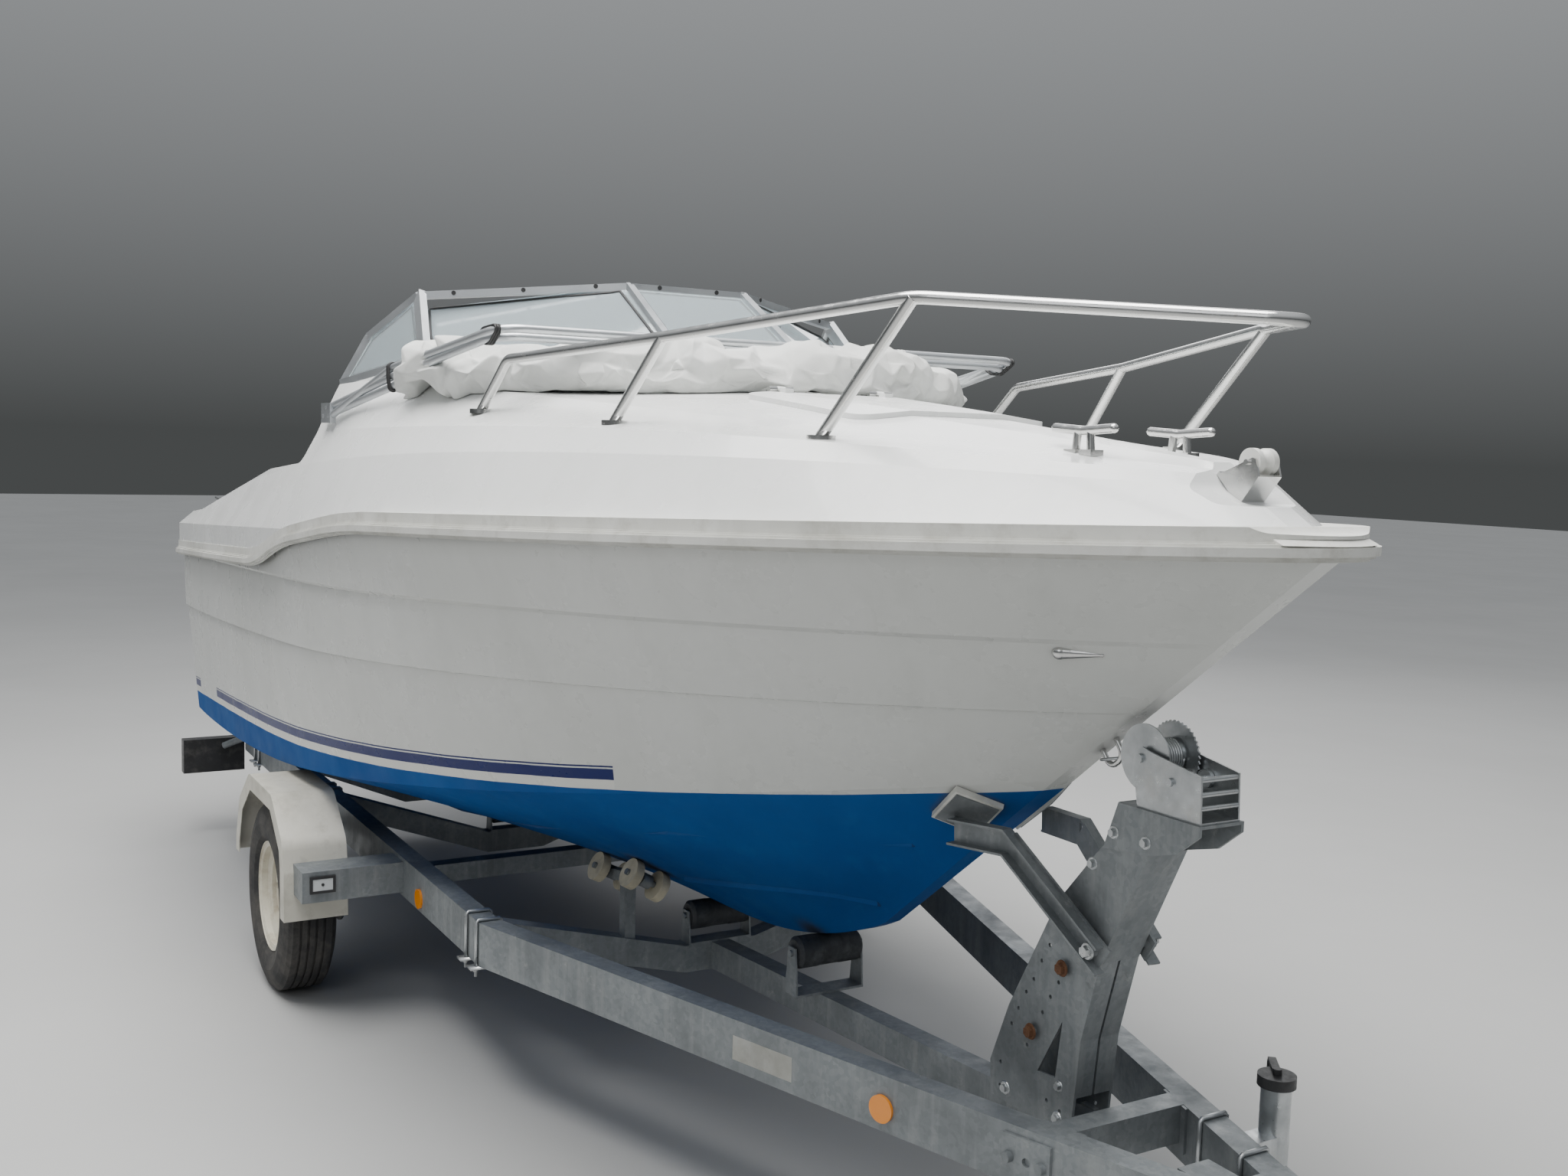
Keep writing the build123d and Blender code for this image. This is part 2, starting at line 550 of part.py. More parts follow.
cleats = []
for x, y in CLEAT_SPOTS:
    z = deck_top(x, y) if x > 0 else 1490 + (x + 1600) * 0.07
    cleats += [cleat(x, side * y, z) for side in (1, -1)]
aft_or_fore = under_line(QUARTER, QUARTER_RADII, SEAT_GAP, 900) + block(0, 3400, -1200, 1200, 900, 2200)
cleat_seat = deck_body(-SEAT_GAP) & aft_or_fore
write("cleats", [max((item - cleat_seat).solids(), key=lambda q: q.volume) for item in cleats])

# Bow fittings: anchor roller in its bent bracket, bow eye, vent covers
ROLLER_X, ROLLER_Z, ROLLER_RADIUS, ROLLER_HALF, CHEEK = 3124, 1814, 25, 24, 4
CHEEK_OUTLINE = [(3055, 1791), (3084, 1801), (3134, 1822), (3142, 1820), (3151, 1789), (3110, 1738)]
CHEEK_OUT = ROLLER_HALF + 1 + CHEEK
cheeks = prism_xz(CHEEK_OUTLINE, ROLLER_HALF + 1, CHEEK_OUT)
anchor_bracket = cheeks + mirror(cheeks, Plane.XZ)
anchor_bracket += prism_xz([(3110, 1738), (3151, 1789), (3147, 1792), (3106, 1741)], -CHEEK_OUT, CHEEK_OUT)
anchor_bracket += prism_xz([(3052, 1790), (3108, 1736), (3113, 1742), (3058, 1796)], -CHEEK_OUT, CHEEK_OUT)
anchor_bracket += rod((ROLLER_X, -CHEEK_OUT - 5, ROLLER_Z), (ROLLER_X, CHEEK_OUT + 5, ROLLER_Z), 5)
anchor_bracket -= deck_body(-SEAT_GAP) - nose_hollow(SEAT_GAP)
roller_at = Pos(ROLLER_X, 0, ROLLER_Z) * Rot(90, 0, 0)
roller = roller_at * (Cylinder(ROLLER_RADIUS, 2 * ROLLER_HALF) - Cylinder(5 + SEAT_GAP, 100))
groove = roller_at * Torus(ROLLER_RADIUS + 6, 13)
write("anchor_roller", roller - groove)
EYE = (2741, 0, 1243)
eye_out = Vector(STEM_RISE, 0, -STEM_RUN).normalized()
eye_along = Vector(STEM_RUN, 0, STEM_RISE).normalized()
stem_at = Vector(STEM_FOOT_X + STEM_RUN / STEM_RISE * (EYE[2] - STEM_FOOT_Z), 0, EYE[2])
eye_points = [stem_at - eye_along * 24 - eye_out * 20, stem_at - eye_along * 24 + eye_out * 42]
eye_points += [stem_at + eye_along * 24 + eye_out * 42, stem_at + eye_along * 24 - eye_out * 20]
bow_eye = tube([tuple(q) for q in eye_points], [20, 20], 6)
bow_eye -= hull_body(-SEAT_GAP)
write("bow_fittings", [max(anchor_bracket.solids(), key=lambda q: q.volume)] + bow_eye.solids())

# Folded canopy: three bows lashed along the coachroof and the bundled cloth behind them
canopy_bows, bow_channels = [], []
for index, (x, y, z) in enumerate(BOW_CORNERS):
    gather = (BOW_GATHER[0], BOW_GATHER[1], BOW_GATHER[2] + 26 * (index - 1))
    leg = [(PIVOT[0] + 30 * index, PIVOT[1], PIVOT[2] + 25 * (index == 1)), gather, (x, y, z)]
    path_points = leg + [flip(q) for q in reversed(leg)]
    canopy_bows.append(tube(path_points, [300, 70, 70, 300], BOW_TUBE))
    bow_channels.append(tube(path_points, [300, 70, 70, 300], BOW_TUBE + SEAT_GAP))
bows = canopy_bows[0] + canopy_bows[1] + canopy_bows[2]
for side in (1, -1):
    x, y, z = PIVOT
    bows += block(x - 22, x + 85, side * y - 9, side * y + 9, z - 20, z + 40)
write("canopy_bows", bows - deck)

bundle_sections = []
bundle_line = [(x, -y, w, h) for x, y, w, h in BUNDLE] + [(1482, 0, 142, 76)]
bundle_line += [(x, y, w, h) for x, y, w, h in reversed(BUNDLE)]
for index, (x, y, w, h) in enumerate(bundle_line):
    before = bundle_line[max(index - 1, 0)]
    after = bundle_line[min(index + 1, len(bundle_line) - 1)]
    along = Vector(after[0] - before[0], after[1] - before[1], 0).normalized()
    z = deck_top(x, y) + h * 0.55
    plane = Plane(origin=(x, y, z), x_dir=(along.Y, -along.X, 0), z_dir=along)
    bundle_sections.append((plane * Ellipse(w, h)).wire())
bundle = Solid.make_loft(bundle_sections)
bundle -= deck_body(-SEAT_GAP)
for bow in bow_channels:
    bundle -= bow
write("canvas_bundle", max(bundle.solids(), key=lambda q: q.volume))


def hull_side(x, z, side=1):
    """Half breadth of the hull's skin at one height."""
    line = Edge.make_line((x, 0, z), (x, side * 1500, z))
    met = [item for face in hull_block.faces() for item in (face.intersect(line) or [])]
    found = [v.Y for item in met for v in item.vertices()]
    return max(found, key=abs)


def capsule(start, end, radius):
    """Round bar with ball ends."""
    return rod(start, end, radius) + Pos(*start) * Sphere(radius) + Pos(*end) * Sphere(radius)


def ring_y(points, y):
    """Solid of revolution about a cross axle, from (distance along y, radius) points."""
    face = make_face(Polyline(*[(0, y + along, radius) for along, radius in points], close=True))
    return revolve(face, Axis((0, 0, 0), (0, 1, 0)))


# Vent covers on both bows
VENT_X, VENT_Z, VENT_LONG, VENT_RADIUS, VENT_TIP, VENT_SUNK = 2878, 1447, 58, 14, 4, 4
vents = []
for side in (1, -1):
    ends = []
    for x in (VENT_X - VENT_LONG / 2, VENT_X + VENT_LONG / 2):
        ends.append(Vector(x, side * (abs(hull_side(x, VENT_Z)) - VENT_SUNK), VENT_Z))
    along = ends[1] - ends[0]
    shell = Plane(origin=ends[0], z_dir=along) * Cone(
        VENT_RADIUS, VENT_TIP, along.length, align=(Align.CENTER, Align.CENTER, Align.MIN)
    )
    cover = shell + Pos(*ends[0]) * Sphere(VENT_RADIUS + 0.8) + Pos(*ends[1]) * Sphere(VENT_TIP + 1)
    cover -= hull_body(-SEAT_GAP)
    vents.append(max(cover.solids(), key=lambda q: q.volume))
write("vent_covers", vents)

# Helm console against the cabin bulkhead, and its steering wheel
lean = radians(WHEEL_LEAN)
WHEEL_CENTRE = Vector(50, CONSOLE_Y, 1620)
WHEEL_AXIS = Vector(cos(lean), 0, -sin(lean))
WHEEL_UP = Vector(sin(lean), 0, cos(lean))
DASH_AWAY, BOSS_RADIUS, BOSS_LONG, SHAFT_RADIUS, RUNNING_GAP = 75, 38, 34, 14, 0.05
dash_low = WHEEL_CENTRE + WHEEL_AXIS * DASH_AWAY - WHEEL_UP * (WHEEL_RADIUS + 30)
dash_high = WHEEL_CENTRE + WHEEL_AXIS * DASH_AWAY + WHEEL_UP * (WHEEL_RADIUS + 70)
console_x = COCKPIT_FORE_X - SEAT_GAP
console = prism_xz(
    [
        (console_x, CONSOLE_LOW_Z),
        (dash_low.X, dash_low.Z),
        (dash_high.X, dash_high.Z),
        (console_x - 12, CONSOLE_TOP_Z),
        (console_x, CONSOLE_TOP_Z),
    ],
    CONSOLE_Y - CONSOLE_WIDE / 2,
    CONSOLE_Y + CONSOLE_WIDE / 2,
)
boss_start = WHEEL_CENTRE + WHEEL_AXIS * (DASH_AWAY - BOSS_LONG)
boss_end = WHEEL_CENTRE + WHEEL_AXIS * (DASH_AWAY + 10)
console += rod(tuple(boss_start), tuple(boss_end), BOSS_RADIUS)
console -= rod(tuple(boss_start - WHEEL_AXIS), tuple(boss_end), SHAFT_RADIUS + RUNNING_GAP)
write("helm_console", console)
wheel_plane = Plane(origin=WHEEL_CENTRE, x_dir=(0, 1, 0), z_dir=WHEEL_AXIS)
rim_grip = wheel_plane * Torus(WHEEL_RADIUS, WHEEL_TUBE)
wheel_hub = wheel_plane * Pos(0, 0, 6) * Cylinder(42, 46)
steering_wheel = rim_grip + wheel_hub
for angle in (90, 210, 330):
    spoke = Rot(0, 0, angle) * Pos(WHEEL_RADIUS / 2, 0, 4) * Box(WHEEL_RADIUS, 34, 7)
    steering_wheel += wheel_plane * spoke
steering_wheel += rod(tuple(WHEEL_CENTRE), tuple(WHEEL_CENTRE + WHEEL_AXIS * (DASH_AWAY + 6)), SHAFT_RADIUS)
write("steering_wheel", steering_wheel)

# Cabin door in its doorway, hinged on the port jamb
DOOR_HINGE_Y = DOOR_Y + DOOR_WIDE / 2
DOOR_FREE_GAP, DOOR_HINGES, HINGE_PIN, HINGE_KNUCKLE, HINGE_LONG = 8, (1000, 1690), 4, 8, 70
door_x = COCKPIT_FORE_X + 8
door = block(
    door_x,
    door_x + DOOR_THICK,
    DOOR_HINGE_Y - DOOR_WIDE + DOOR_FREE_GAP,
    DOOR_HINGE_Y - DOOR_GAP,
    DOOR_LOW_Z + DOOR_GAP,
    DOOR_TOP_Z - DOOR_GAP,
)
door_panel = block(
    door_x - 3, door_x + 1, DOOR_Y - DOOR_WIDE / 2 + 70, DOOR_HINGE_Y - 70, DOOR_LOW_Z + 80, DOOR_TOP_Z - 80
)
door += door_panel
KNOB_Y, KNOB_Z, KNOB_RADIUS = DOOR_HINGE_Y - DOOR_WIDE + 60, 1330, 9
door += rod((door_x + 5, KNOB_Y, KNOB_Z), (door_x - 34, KNOB_Y, KNOB_Z), KNOB_RADIUS)
door += Pos(door_x - 38, DOOR_HINGE_Y - DOOR_WIDE + 60, 1330) * Sphere(19)


def hinge(at, along, fixed_leaf, moving_leaf):
    """Pin with two fixed knuckles and a moving one between them, each with its leaf."""
    at, along = Vector(*at), Vector(*along)
    third = HINGE_LONG / 3
    low_end, high_end = at - along * (HINGE_LONG / 2), at + along * (HINGE_LONG / 2)
    pin = rod(tuple(low_end), tuple(high_end), HINGE_PIN)
    still, loose = pin, None
    knuckles = [(0, third - 0.3, False), (third, 2 * third, True), (2 * third + 0.3, 3 * third, False)]
    for start, stop, moves in knuckles:
        a, b = low_end + along * start, low_end + along * stop
        knuckle = rod(tuple(a), tuple(b), HINGE_KNUCKLE)
        leaf = moving_leaf if moves else fixed_leaf
        outer = Vector(*leaf)
        leaf = tuple(a + outer * 0.5), tuple(b + outer * 0.5)
        knuckle += bar(*leaf, outer.length, 4, tuple(along.cross(outer)))
        if moves:
            loose = knuckle - rod(tuple(low_end), tuple(high_end), HINGE_PIN + RUNNING_GAP)
        else:
            still += knuckle
    return still, loose


door_fixed = []
for z in DOOR_HINGES:
    still, loose = hinge((COCKPIT_FORE_X - 9, DOOR_HINGE_Y, z), (0, 0, 1), (0, 45, 0), (0, -45, 0))
    fore_x, aft_x = COCKPIT_FORE_X - SEAT_GAP, COCKPIT_FORE_X - 11
    low_z, high_z = z - HINGE_LONG / 6, z + HINGE_LONG / 6
    foot = block(aft_x, fore_x, DOOR_HINGE_Y + 20, DOOR_HINGE_Y + 45, z - HINGE_LONG / 2, low_z - 0.3)
    door_fixed.append(still + foot)
    door += loose + block(aft_x, door_x + 2, DOOR_HINGE_Y - 45, DOOR_HINGE_Y - 20, low_z, high_z)
write("cabin_door", door)

# Seats back to back, and the berths in the cabin
SEAT_AFT_X, SEAT_FORE_X, SEAT_IN_Y, SEAT_OUT_Y, SEAT_BASE_Z = -800, -300, 260, 700, 1130
CUSHION_THICK, BACK_TOP_Z, BACK_THICK, CUSHION_EDGE = 100, 1610, 90, 24
seat_bases, seat_cushions = [], []
for side in (1, -1):
    y0, y1 = sorted((side * SEAT_IN_Y, side * SEAT_OUT_Y))
    seat_bases.append(block(SEAT_AFT_X, SEAT_FORE_X, y0, y1, SOLE_Z, SEAT_BASE_Z))
    low_z = SEAT_BASE_Z + SEAT_GAP
    back_x = SEAT_AFT_X + BACK_THICK
    seat = block(back_x + SEAT_GAP, SEAT_FORE_X, y0, y1, low_z, low_z + CUSHION_THICK)
    back = block(SEAT_AFT_X, back_x, y0, y1, low_z, BACK_TOP_Z)
    seat_cushions += [fillet(seat.edges(), CUSHION_EDGE), fillet(back.edges(), CUSHION_EDGE)]
write("seat_bases", seat_bases)
write("seat_cushions", seat_cushions)

BERTH_AFT_X, BERTH_FORE_X, BERTH_Z, BERTH_THICK, AISLE_HALF, AISLE_END_X = 620, 2060, 1020, 90, 190, 1250
berth_cut = block(BERTH_AFT_X - 10, AISLE_END_X, -AISLE_HALF, AISLE_HALF, 700, 1300)
berth_zone = block(BERTH_AFT_X, BERTH_FORE_X, -1100, 1100, CABIN_SOLE_Z + SEAT_GAP, BERTH_Z) - berth_cut
write("berth_base", hull_body(HULL_WALL + SEAT_GAP) & berth_zone)
cushion_zone = block(BERTH_AFT_X, BERTH_FORE_X, -1100, 1100, BERTH_Z + SEAT_GAP, BERTH_Z + BERTH_THICK)
cushion_zone -= berth_cut
write("berth_cushions", hull_body(HULL_WALL + 12) & cushion_zone)

# Engine under its box, with a padded lid hinged at the transom
ENGINE = block(-1700, -1150, -260, 260, WELL_Z, 1100)
write("engine_block", ENGINE)
BOX_FORE_X, BOX_HALF, BOX_WALL, BOX_TOP_Z, LID_GAP, LID_THICK = -1000, 470, 25, 1400, 6, 25
BOX_AFT_X = COCKPIT_AFT_X + SEAT_GAP
engine_box = block(BOX_AFT_X, BOX_FORE_X, -BOX_HALF, BOX_HALF, SOLE_Z, BOX_TOP_Z)
engine_box -= block(BOX_AFT_X - 1, BOX_FORE_X - BOX_WALL, BOX_WALL - BOX_HALF, BOX_HALF - BOX_WALL, 700, 1500)
write("engine_box", engine_box)
lid_z = BOX_TOP_Z + LID_GAP
LID_HINGE = (BOX_AFT_X - 22, lid_z + LID_THICK / 2)
engine_lid = block(BOX_AFT_X, BOX_FORE_X + 15, -BOX_HALF - 12, BOX_HALF + 12, lid_z, lid_z + LID_THICK)
LID_HINGES = (-330, 330)
lid_fixed = []
for y in LID_HINGES:
    still, loose = hinge((LID_HINGE[0], y, LID_HINGE[1]), (0, 1, 0), (-40, 0, 0), (40, 0, 0))
    foot_z0, foot_z1 = TRANSOM_NOTCH_Z + SEAT_GAP, LID_HINGE[1] + 2
    third = HINGE_LONG / 6
    y0, y1 = y - HINGE_LONG / 2, y + HINGE_LONG / 2
    still += block(LID_HINGE[0] - 40, LID_HINGE[0] - 14, y0, y1, foot_z0, foot_z1)
    lid_fixed.append(still)
    engine_lid += loose
engine_lid += block(BOX_AFT_X - 4, BOX_AFT_X + 1, -BOX_HALF, BOX_HALF, lid_z + 8, lid_z + 16)
write("engine_lid", engine_lid)
PAD_THICK = 80
pad_z = lid_z + LID_THICK + SEAT_GAP
pad = block(BOX_AFT_X + 30, BOX_FORE_X + 10, -BOX_HALF - 6, BOX_HALF + 6, pad_z, pad_z + PAD_THICK)
write("sun_pad", fillet(pad.edges(), CUSHION_EDGE))

# Hinges of the foredeck hatch, at its aft edge
hatch_aft_x = HATCH_X - HATCH_SIZE / 2
HATCH_HINGES = (-150, 150)
hatch_fixed = []
hatch_hinge_z = deck_top(hatch_aft_x, 0) + HATCH_THICK + 6
hatch_piece = hatch_lid
for y in HATCH_HINGES:
    at = (hatch_aft_x - 14, y, hatch_hinge_z)
    still, loose = hinge(at, (0, 1, 0), (-36, 0, 0), (36, 0, 0))
    low_z, high_z = hatch_hinge_z - 60, hatch_hinge_z + 2
    foot = block(at[0] - 36, at[0] - 12, y - HINGE_LONG / 2, y + HINGE_LONG / 2, low_z, high_z)
    hatch_fixed.append((still + foot) - deck_body(-SEAT_GAP))
    low_z = hatch_hinge_z - 14
    tongue = block(at[0] + 16, at[0] + 46, y - HINGE_LONG / 6, y + HINGE_LONG / 6, low_z, high_z)
    hatch_piece += loose + (tongue - deck_body(-HATCH_THICK + 3))
write("foredeck_hatch", hatch_piece)
hatch_fixed = [max(item.solids(), key=lambda q: q.volume) for item in hatch_fixed]
write("fixed_hinges", door_fixed + lid_fixed + hatch_fixed)


# Stern drive, tilted up as it parks: the leg is drawn lowered, then turned about its tilt axis
def transom_x(z):
    return TRANSOM_KEEL_X + TRANSOM_RAKE * (z - KEEL_AFT_Z)


DRIVE_X, DRIVE_Z, DRIVE_UP = -2090, 710, 50
PLATE_HALF, PLATE_LOW, PLATE_HIGH, PLATE_THICK = 170, 560, 920, 35
ARM_HALF, ARM_NEAR, ARM_FAR, KING_RADIUS = 35, 61, 91, 14
plate_x0, plate_x1 = transom_x(PLATE_LOW) - SEAT_GAP, transom_x(PLATE_HIGH) - SEAT_GAP
transom_plate = prism_xz(
    [
        (plate_x0, PLATE_LOW),
        (plate_x1, PLATE_HIGH),
        (plate_x1 - PLATE_THICK, PLATE_HIGH),
        (plate_x0 - PLATE_THICK, PLATE_LOW),
    ],
    -PLATE_HALF,
    PLATE_HALF,
)
for side in (1, -1):
    z0, z1 = sorted((DRIVE_Z + side * ARM_NEAR, DRIVE_Z + side * ARM_FAR))
    inner_x = transom_x((z0 + z1) / 2) - 20
    transom_plate += block(DRIVE_X, inner_x, -ARM_HALF, ARM_HALF, z0, z1)
    transom_plate += Pos(DRIVE_X, 0, (z0 + z1) / 2) * Cylinder(ARM_HALF, z1 - z0)
    king = (DRIVE_X, 0, DRIVE_Z + side * (ARM_NEAR - 30)), (DRIVE_X, 0, DRIVE_Z + side * ARM_NEAR)
    transom_plate += rod(king[0], king[1], KING_RADIUS)
write("transom_plate", transom_plate)

SWIVEL_RADIUS, SWIVEL_HALF, TRUNNION_RADIUS, EAR_IN, EAR_OUT, PIN_RADIUS = 38, 55, 30, 116, 140, 14
swivel = Cylinder(SWIVEL_RADIUS, 2 * SWIVEL_HALF)
swivel += rod((0, -EAR_IN + 6, 0), (0, EAR_IN - 6, 0), TRUNNION_RADIUS)
swivel += rod((0, -EAR_OUT, 0), (0, EAR_OUT, 0), PIN_RADIUS)
for side in (1, -1):
    swivel -= rod((0, 0, side * (ARM_NEAR - 31)), (0, 0, side * 80), KING_RADIUS + RUNNING_GAP)
write("drive_swivel", Pos(DRIVE_X, 0, DRIVE_Z) * swivel)

PROP_DROP, PROP_RADIUS, PROP_BORE = 520, 175, 12
leg = prism_xz([(-110, -140), (-110, 60), (-160, 108), (-245, 116), (-288, 60), (-292, -140)], -72, 72)
leg = chamfer(leg.edges().filter_by(Plane.XZ), 18)
leg += block(-175, -100, -EAR_OUT, EAR_OUT, -40, 40)
for side in (1, -1):
    y0, y1 = sorted((side * EAR_IN, side * EAR_OUT))
    leg += block(-150, 0, y0, y1, -30, 30) + rod((0, y0, 0), (0, y1, 0), 36)
leg -= rod((0, -EAR_IN, 0), (0, EAR_IN, 0), 106)
leg -= rod((0, -200, 0), (0, 200, 0), PIN_RADIUS + RUNNING_GAP)


def foil(nose_x, tail_x, half, z):
    """Streamlined outline at one height of the leg."""
    long = nose_x - tail_x
    side = [(nose_x, 0), (nose_x - long * 0.12, half * 0.8)]
    side += [(nose_x - long * 0.4, half), (tail_x, half * 0.25)]
    outline = side + [(x, -y) for x, y in reversed(side[1:])]
    return Wire.make_polygon([Vector(x, y, z) for x, y in outline], close=True)


leg += Solid.make_loft([foil(-112, -290, 44, -136), foil(-170, -335, 28, -PROP_DROP + 20)], True)
vent_plate = make_face(Polyline((-150, 0), (-230, 78), (-500, 102), (-500, -102), (-230, -78), close=True))
leg += Pos(0, 0, -332) * extrude(vent_plate, amount=10)
nose = Spline((-96, 0), (-112, 22), (-150, 40), (-210, 50), tangents=((0, 1), (-1, 0)))
body_line = Polyline((-210, 50), (-330, 50), (-400, 40), (-400, 0), (-96, 0))
torpedo = revolve(make_face(Curve() + [nose, body_line]), Axis((0, 0, 0), (1, 0, 0)))
leg += Pos(0, 0, -PROP_DROP) * torpedo
leg += prism_xz([(-200, -555), (-385, -555), (-345, -690), (-285, -690)], -6, 6)
leg += rod((-395, 0, -PROP_DROP), (-505, 0, -PROP_DROP), PROP_BORE)

HUB_X0, HUB_X1, HUB_RADIUS, BLADES = -406, -500, 40, 3
BLADE_SECTIONS = [(36, 84, 62, 12), (105, 140, 38, 8), (PROP_RADIUS, 56, 26, 4)]
prop = rod((HUB_X0, 0, 0), (HUB_X1, 0, 0), HUB_RADIUS)
prop += Pos(HUB_X1, 0, 0) * Rot(0, -90, 0) * Cone(24, 12, 26, align=(Align.CENTER, Align.CENTER, Align.MIN))
blade_wires = []
for radius, chord, pitch, thick in BLADE_SECTIONS:
    along = Vector(cos(radians(90 - pitch)), sin(radians(90 - pitch)), 0)
    across = Vector(-along.Y, along.X, 0)
    centre = Vector((HUB_X0 + HUB_X1) / 2, 0, radius)
    shares = [(-0.5, 0), (-0.2, 0.5), (0.2, 0.5), (0.5, 0), (0.2, -0.5), (-0.2, -0.5)]
    blade_wires.append(
        Wire.make_polygon(
            [centre + along * (chord * a) + across * (thick * b) for a, b in shares], close=True
        )
    )
blade = Solid.make_loft(blade_wires, True)
for index in range(BLADES):
    prop += Rot(360 / BLADES * index, 0, 0) * blade
prop -= rod((HUB_X0 + 1, 0, 0), (-508, 0, 0), PROP_BORE + RUNNING_GAP)
raise_leg = Pos(DRIVE_X, 0, DRIVE_Z) * Rot(0, DRIVE_UP, 0)
write("drive_leg", raise_leg * leg)
write("propeller", raise_leg * Pos(0, 0, -PROP_DROP) * prop)


# Trailer: two side rails that draw in to the drawbar
def rail_y(x):
    """Centre line of the side rail at x."""
    return RAIL_Y - RAIL_TAPER * max(0, x - RAIL_JOINT_X)


taper_across = (1 + RAIL_TAPER**2) ** 0.5
RAIL_FORE_X = RAIL_JOINT_X + (RAIL_Y - DRAWBAR_HALF - RAIL_WIDE / 2 * taper_across) / RAIL_TAPER
side_rails = []
for side in (1, -1):
    points = [(RAIL_AFT_X, RAIL_Y), (RAIL_JOINT_X, RAIL_Y), (RAIL_FORE_X, rail_y(RAIL_FORE_X))]
    inside_y = RAIL_Y - RAIL_WIDE / 2
    inner = [(RAIL_AFT_X, inside_y), (RAIL_JOINT_X - 5, inside_y), (RAIL_FORE_X, DRAWBAR_HALF)]
    outer = [(x, y + (RAIL_WIDE if x < RAIL_FORE_X else RAIL_WIDE * taper_across)) for x, y in inner]
    outer[1] = (RAIL_JOINT_X + 5, outer[1][1])
    outline = [(x, side * y) for x, y in inner + outer[::-1]]
    face = make_face(Polyline(*outline, close=True))
    rail = Pos(0, 0, RAIL_TOP_Z - RAIL_DEEP) * extrude(face, amount=RAIL_DEEP, dir=(0, 0, 1))
    side_rails.append(rail)
write("side_rails", side_rails)

# Cross members: three that dip under the keel, one straight ahead of the winch post, and the keel beam
cross_members = []
FLAT_HALF, CROSS_END = 115, RAIL_Y - RAIL_WIDE / 2
for x, end_z, centre_z in CROSSINGS:
    top = [(-CROSS_END, end_z), (-FLAT_HALF, centre_z), (FLAT_HALF, centre_z), (CROSS_END, end_z)]
    outline = top + [(y, z - BEAM_DEEP) for y, z in reversed(top)]
    face = make_face(Polyline(*[(0, y, z) for y, z in outline], close=True))
    cross_members.append(Pos(x - BEAM_WIDE / 2, 0, 0) * extrude(face, amount=BEAM_WIDE, dir=(1, 0, 0)))
front_member = block(CROSS_X, CROSS_X + CROSS_LONG, -250, 250, RAIL_TOP_Z - CROSS_DEEP, RAIL_TOP_Z)
for rail in side_rails:
    front_member -= rail
front_member = min(front_member.solids(), key=lambda q: abs(q.center().Y))


def face_plate(x0, x1, face_y, thick, z0, z1, side):
    """Upright plate on a tapered face of a side rail, which is face_y(x) from the centre line."""
    points = [(x0, face_y(x0)), (x1, face_y(x1)), (x1, face_y(x1) + thick), (x0, face_y(x0) + thick)]
    face = make_face(Polyline(*[(x, side * y) for x, y in points], close=True))
    return Pos(0, 0, z0) * extrude(face, amount=z1 - z0, dir=(0, 0, 1))


def rail_inner(x):
    return DRAWBAR_HALF + (RAIL_FORE_X - x) * RAIL_TAPER


def rail_outer(x):
    return rail_inner(x) + RAIL_WIDE * taper_across


END_PLATE, END_BOLTS, END_BOLT_Z, END_HOLE_X = 7, (2808, 2880), 448, 2846
for side in (1, -1):
    front_member += face_plate(2815, 2909, rail_inner, -END_PLATE, 415, RAIL_TOP_Z - 1, side)
    outside = face_plate(2791, 2896, rail_outer, END_PLATE, 391, 494, side)
    for x in END_BOLTS:
        y0, y1 = side * (rail_outer(x) + 2), side * (rail_outer(x) + 17)
        outside += rod((x, y0, END_BOLT_Z), (x, y1, END_BOLT_Z), 11)
    outside -= rod((END_HOLE_X, 0, END_BOLT_Z), (END_HOLE_X, side * 400, END_BOLT_Z), 9)
    rail = side_rails[0 if side > 0 else 1]
    front_member -= rail
    cross_members.append(outside - rail)
cross_members.append(front_member)
BEAM_AFT, BEAM_FORE = (CROSSINGS[-1][0] + BEAM_WIDE / 2, 352), (CROSS_X, 469)


def beam_top(x):
    share = (x - BEAM_AFT[0]) / (BEAM_FORE[0] - BEAM_AFT[0])
    return BEAM_AFT[1] + share * (BEAM_FORE[1] - BEAM_AFT[1])


beam_line = [BEAM_AFT, BEAM_FORE]
beam_line += [(x, z - BEAM_DEEP) for x, z in (BEAM_FORE, BEAM_AFT)]
keel_beam = prism_xz(beam_line, -BEAM_WIDE / 2, BEAM_WIDE / 2)
write("cross_members", cross_members + [keel_beam])

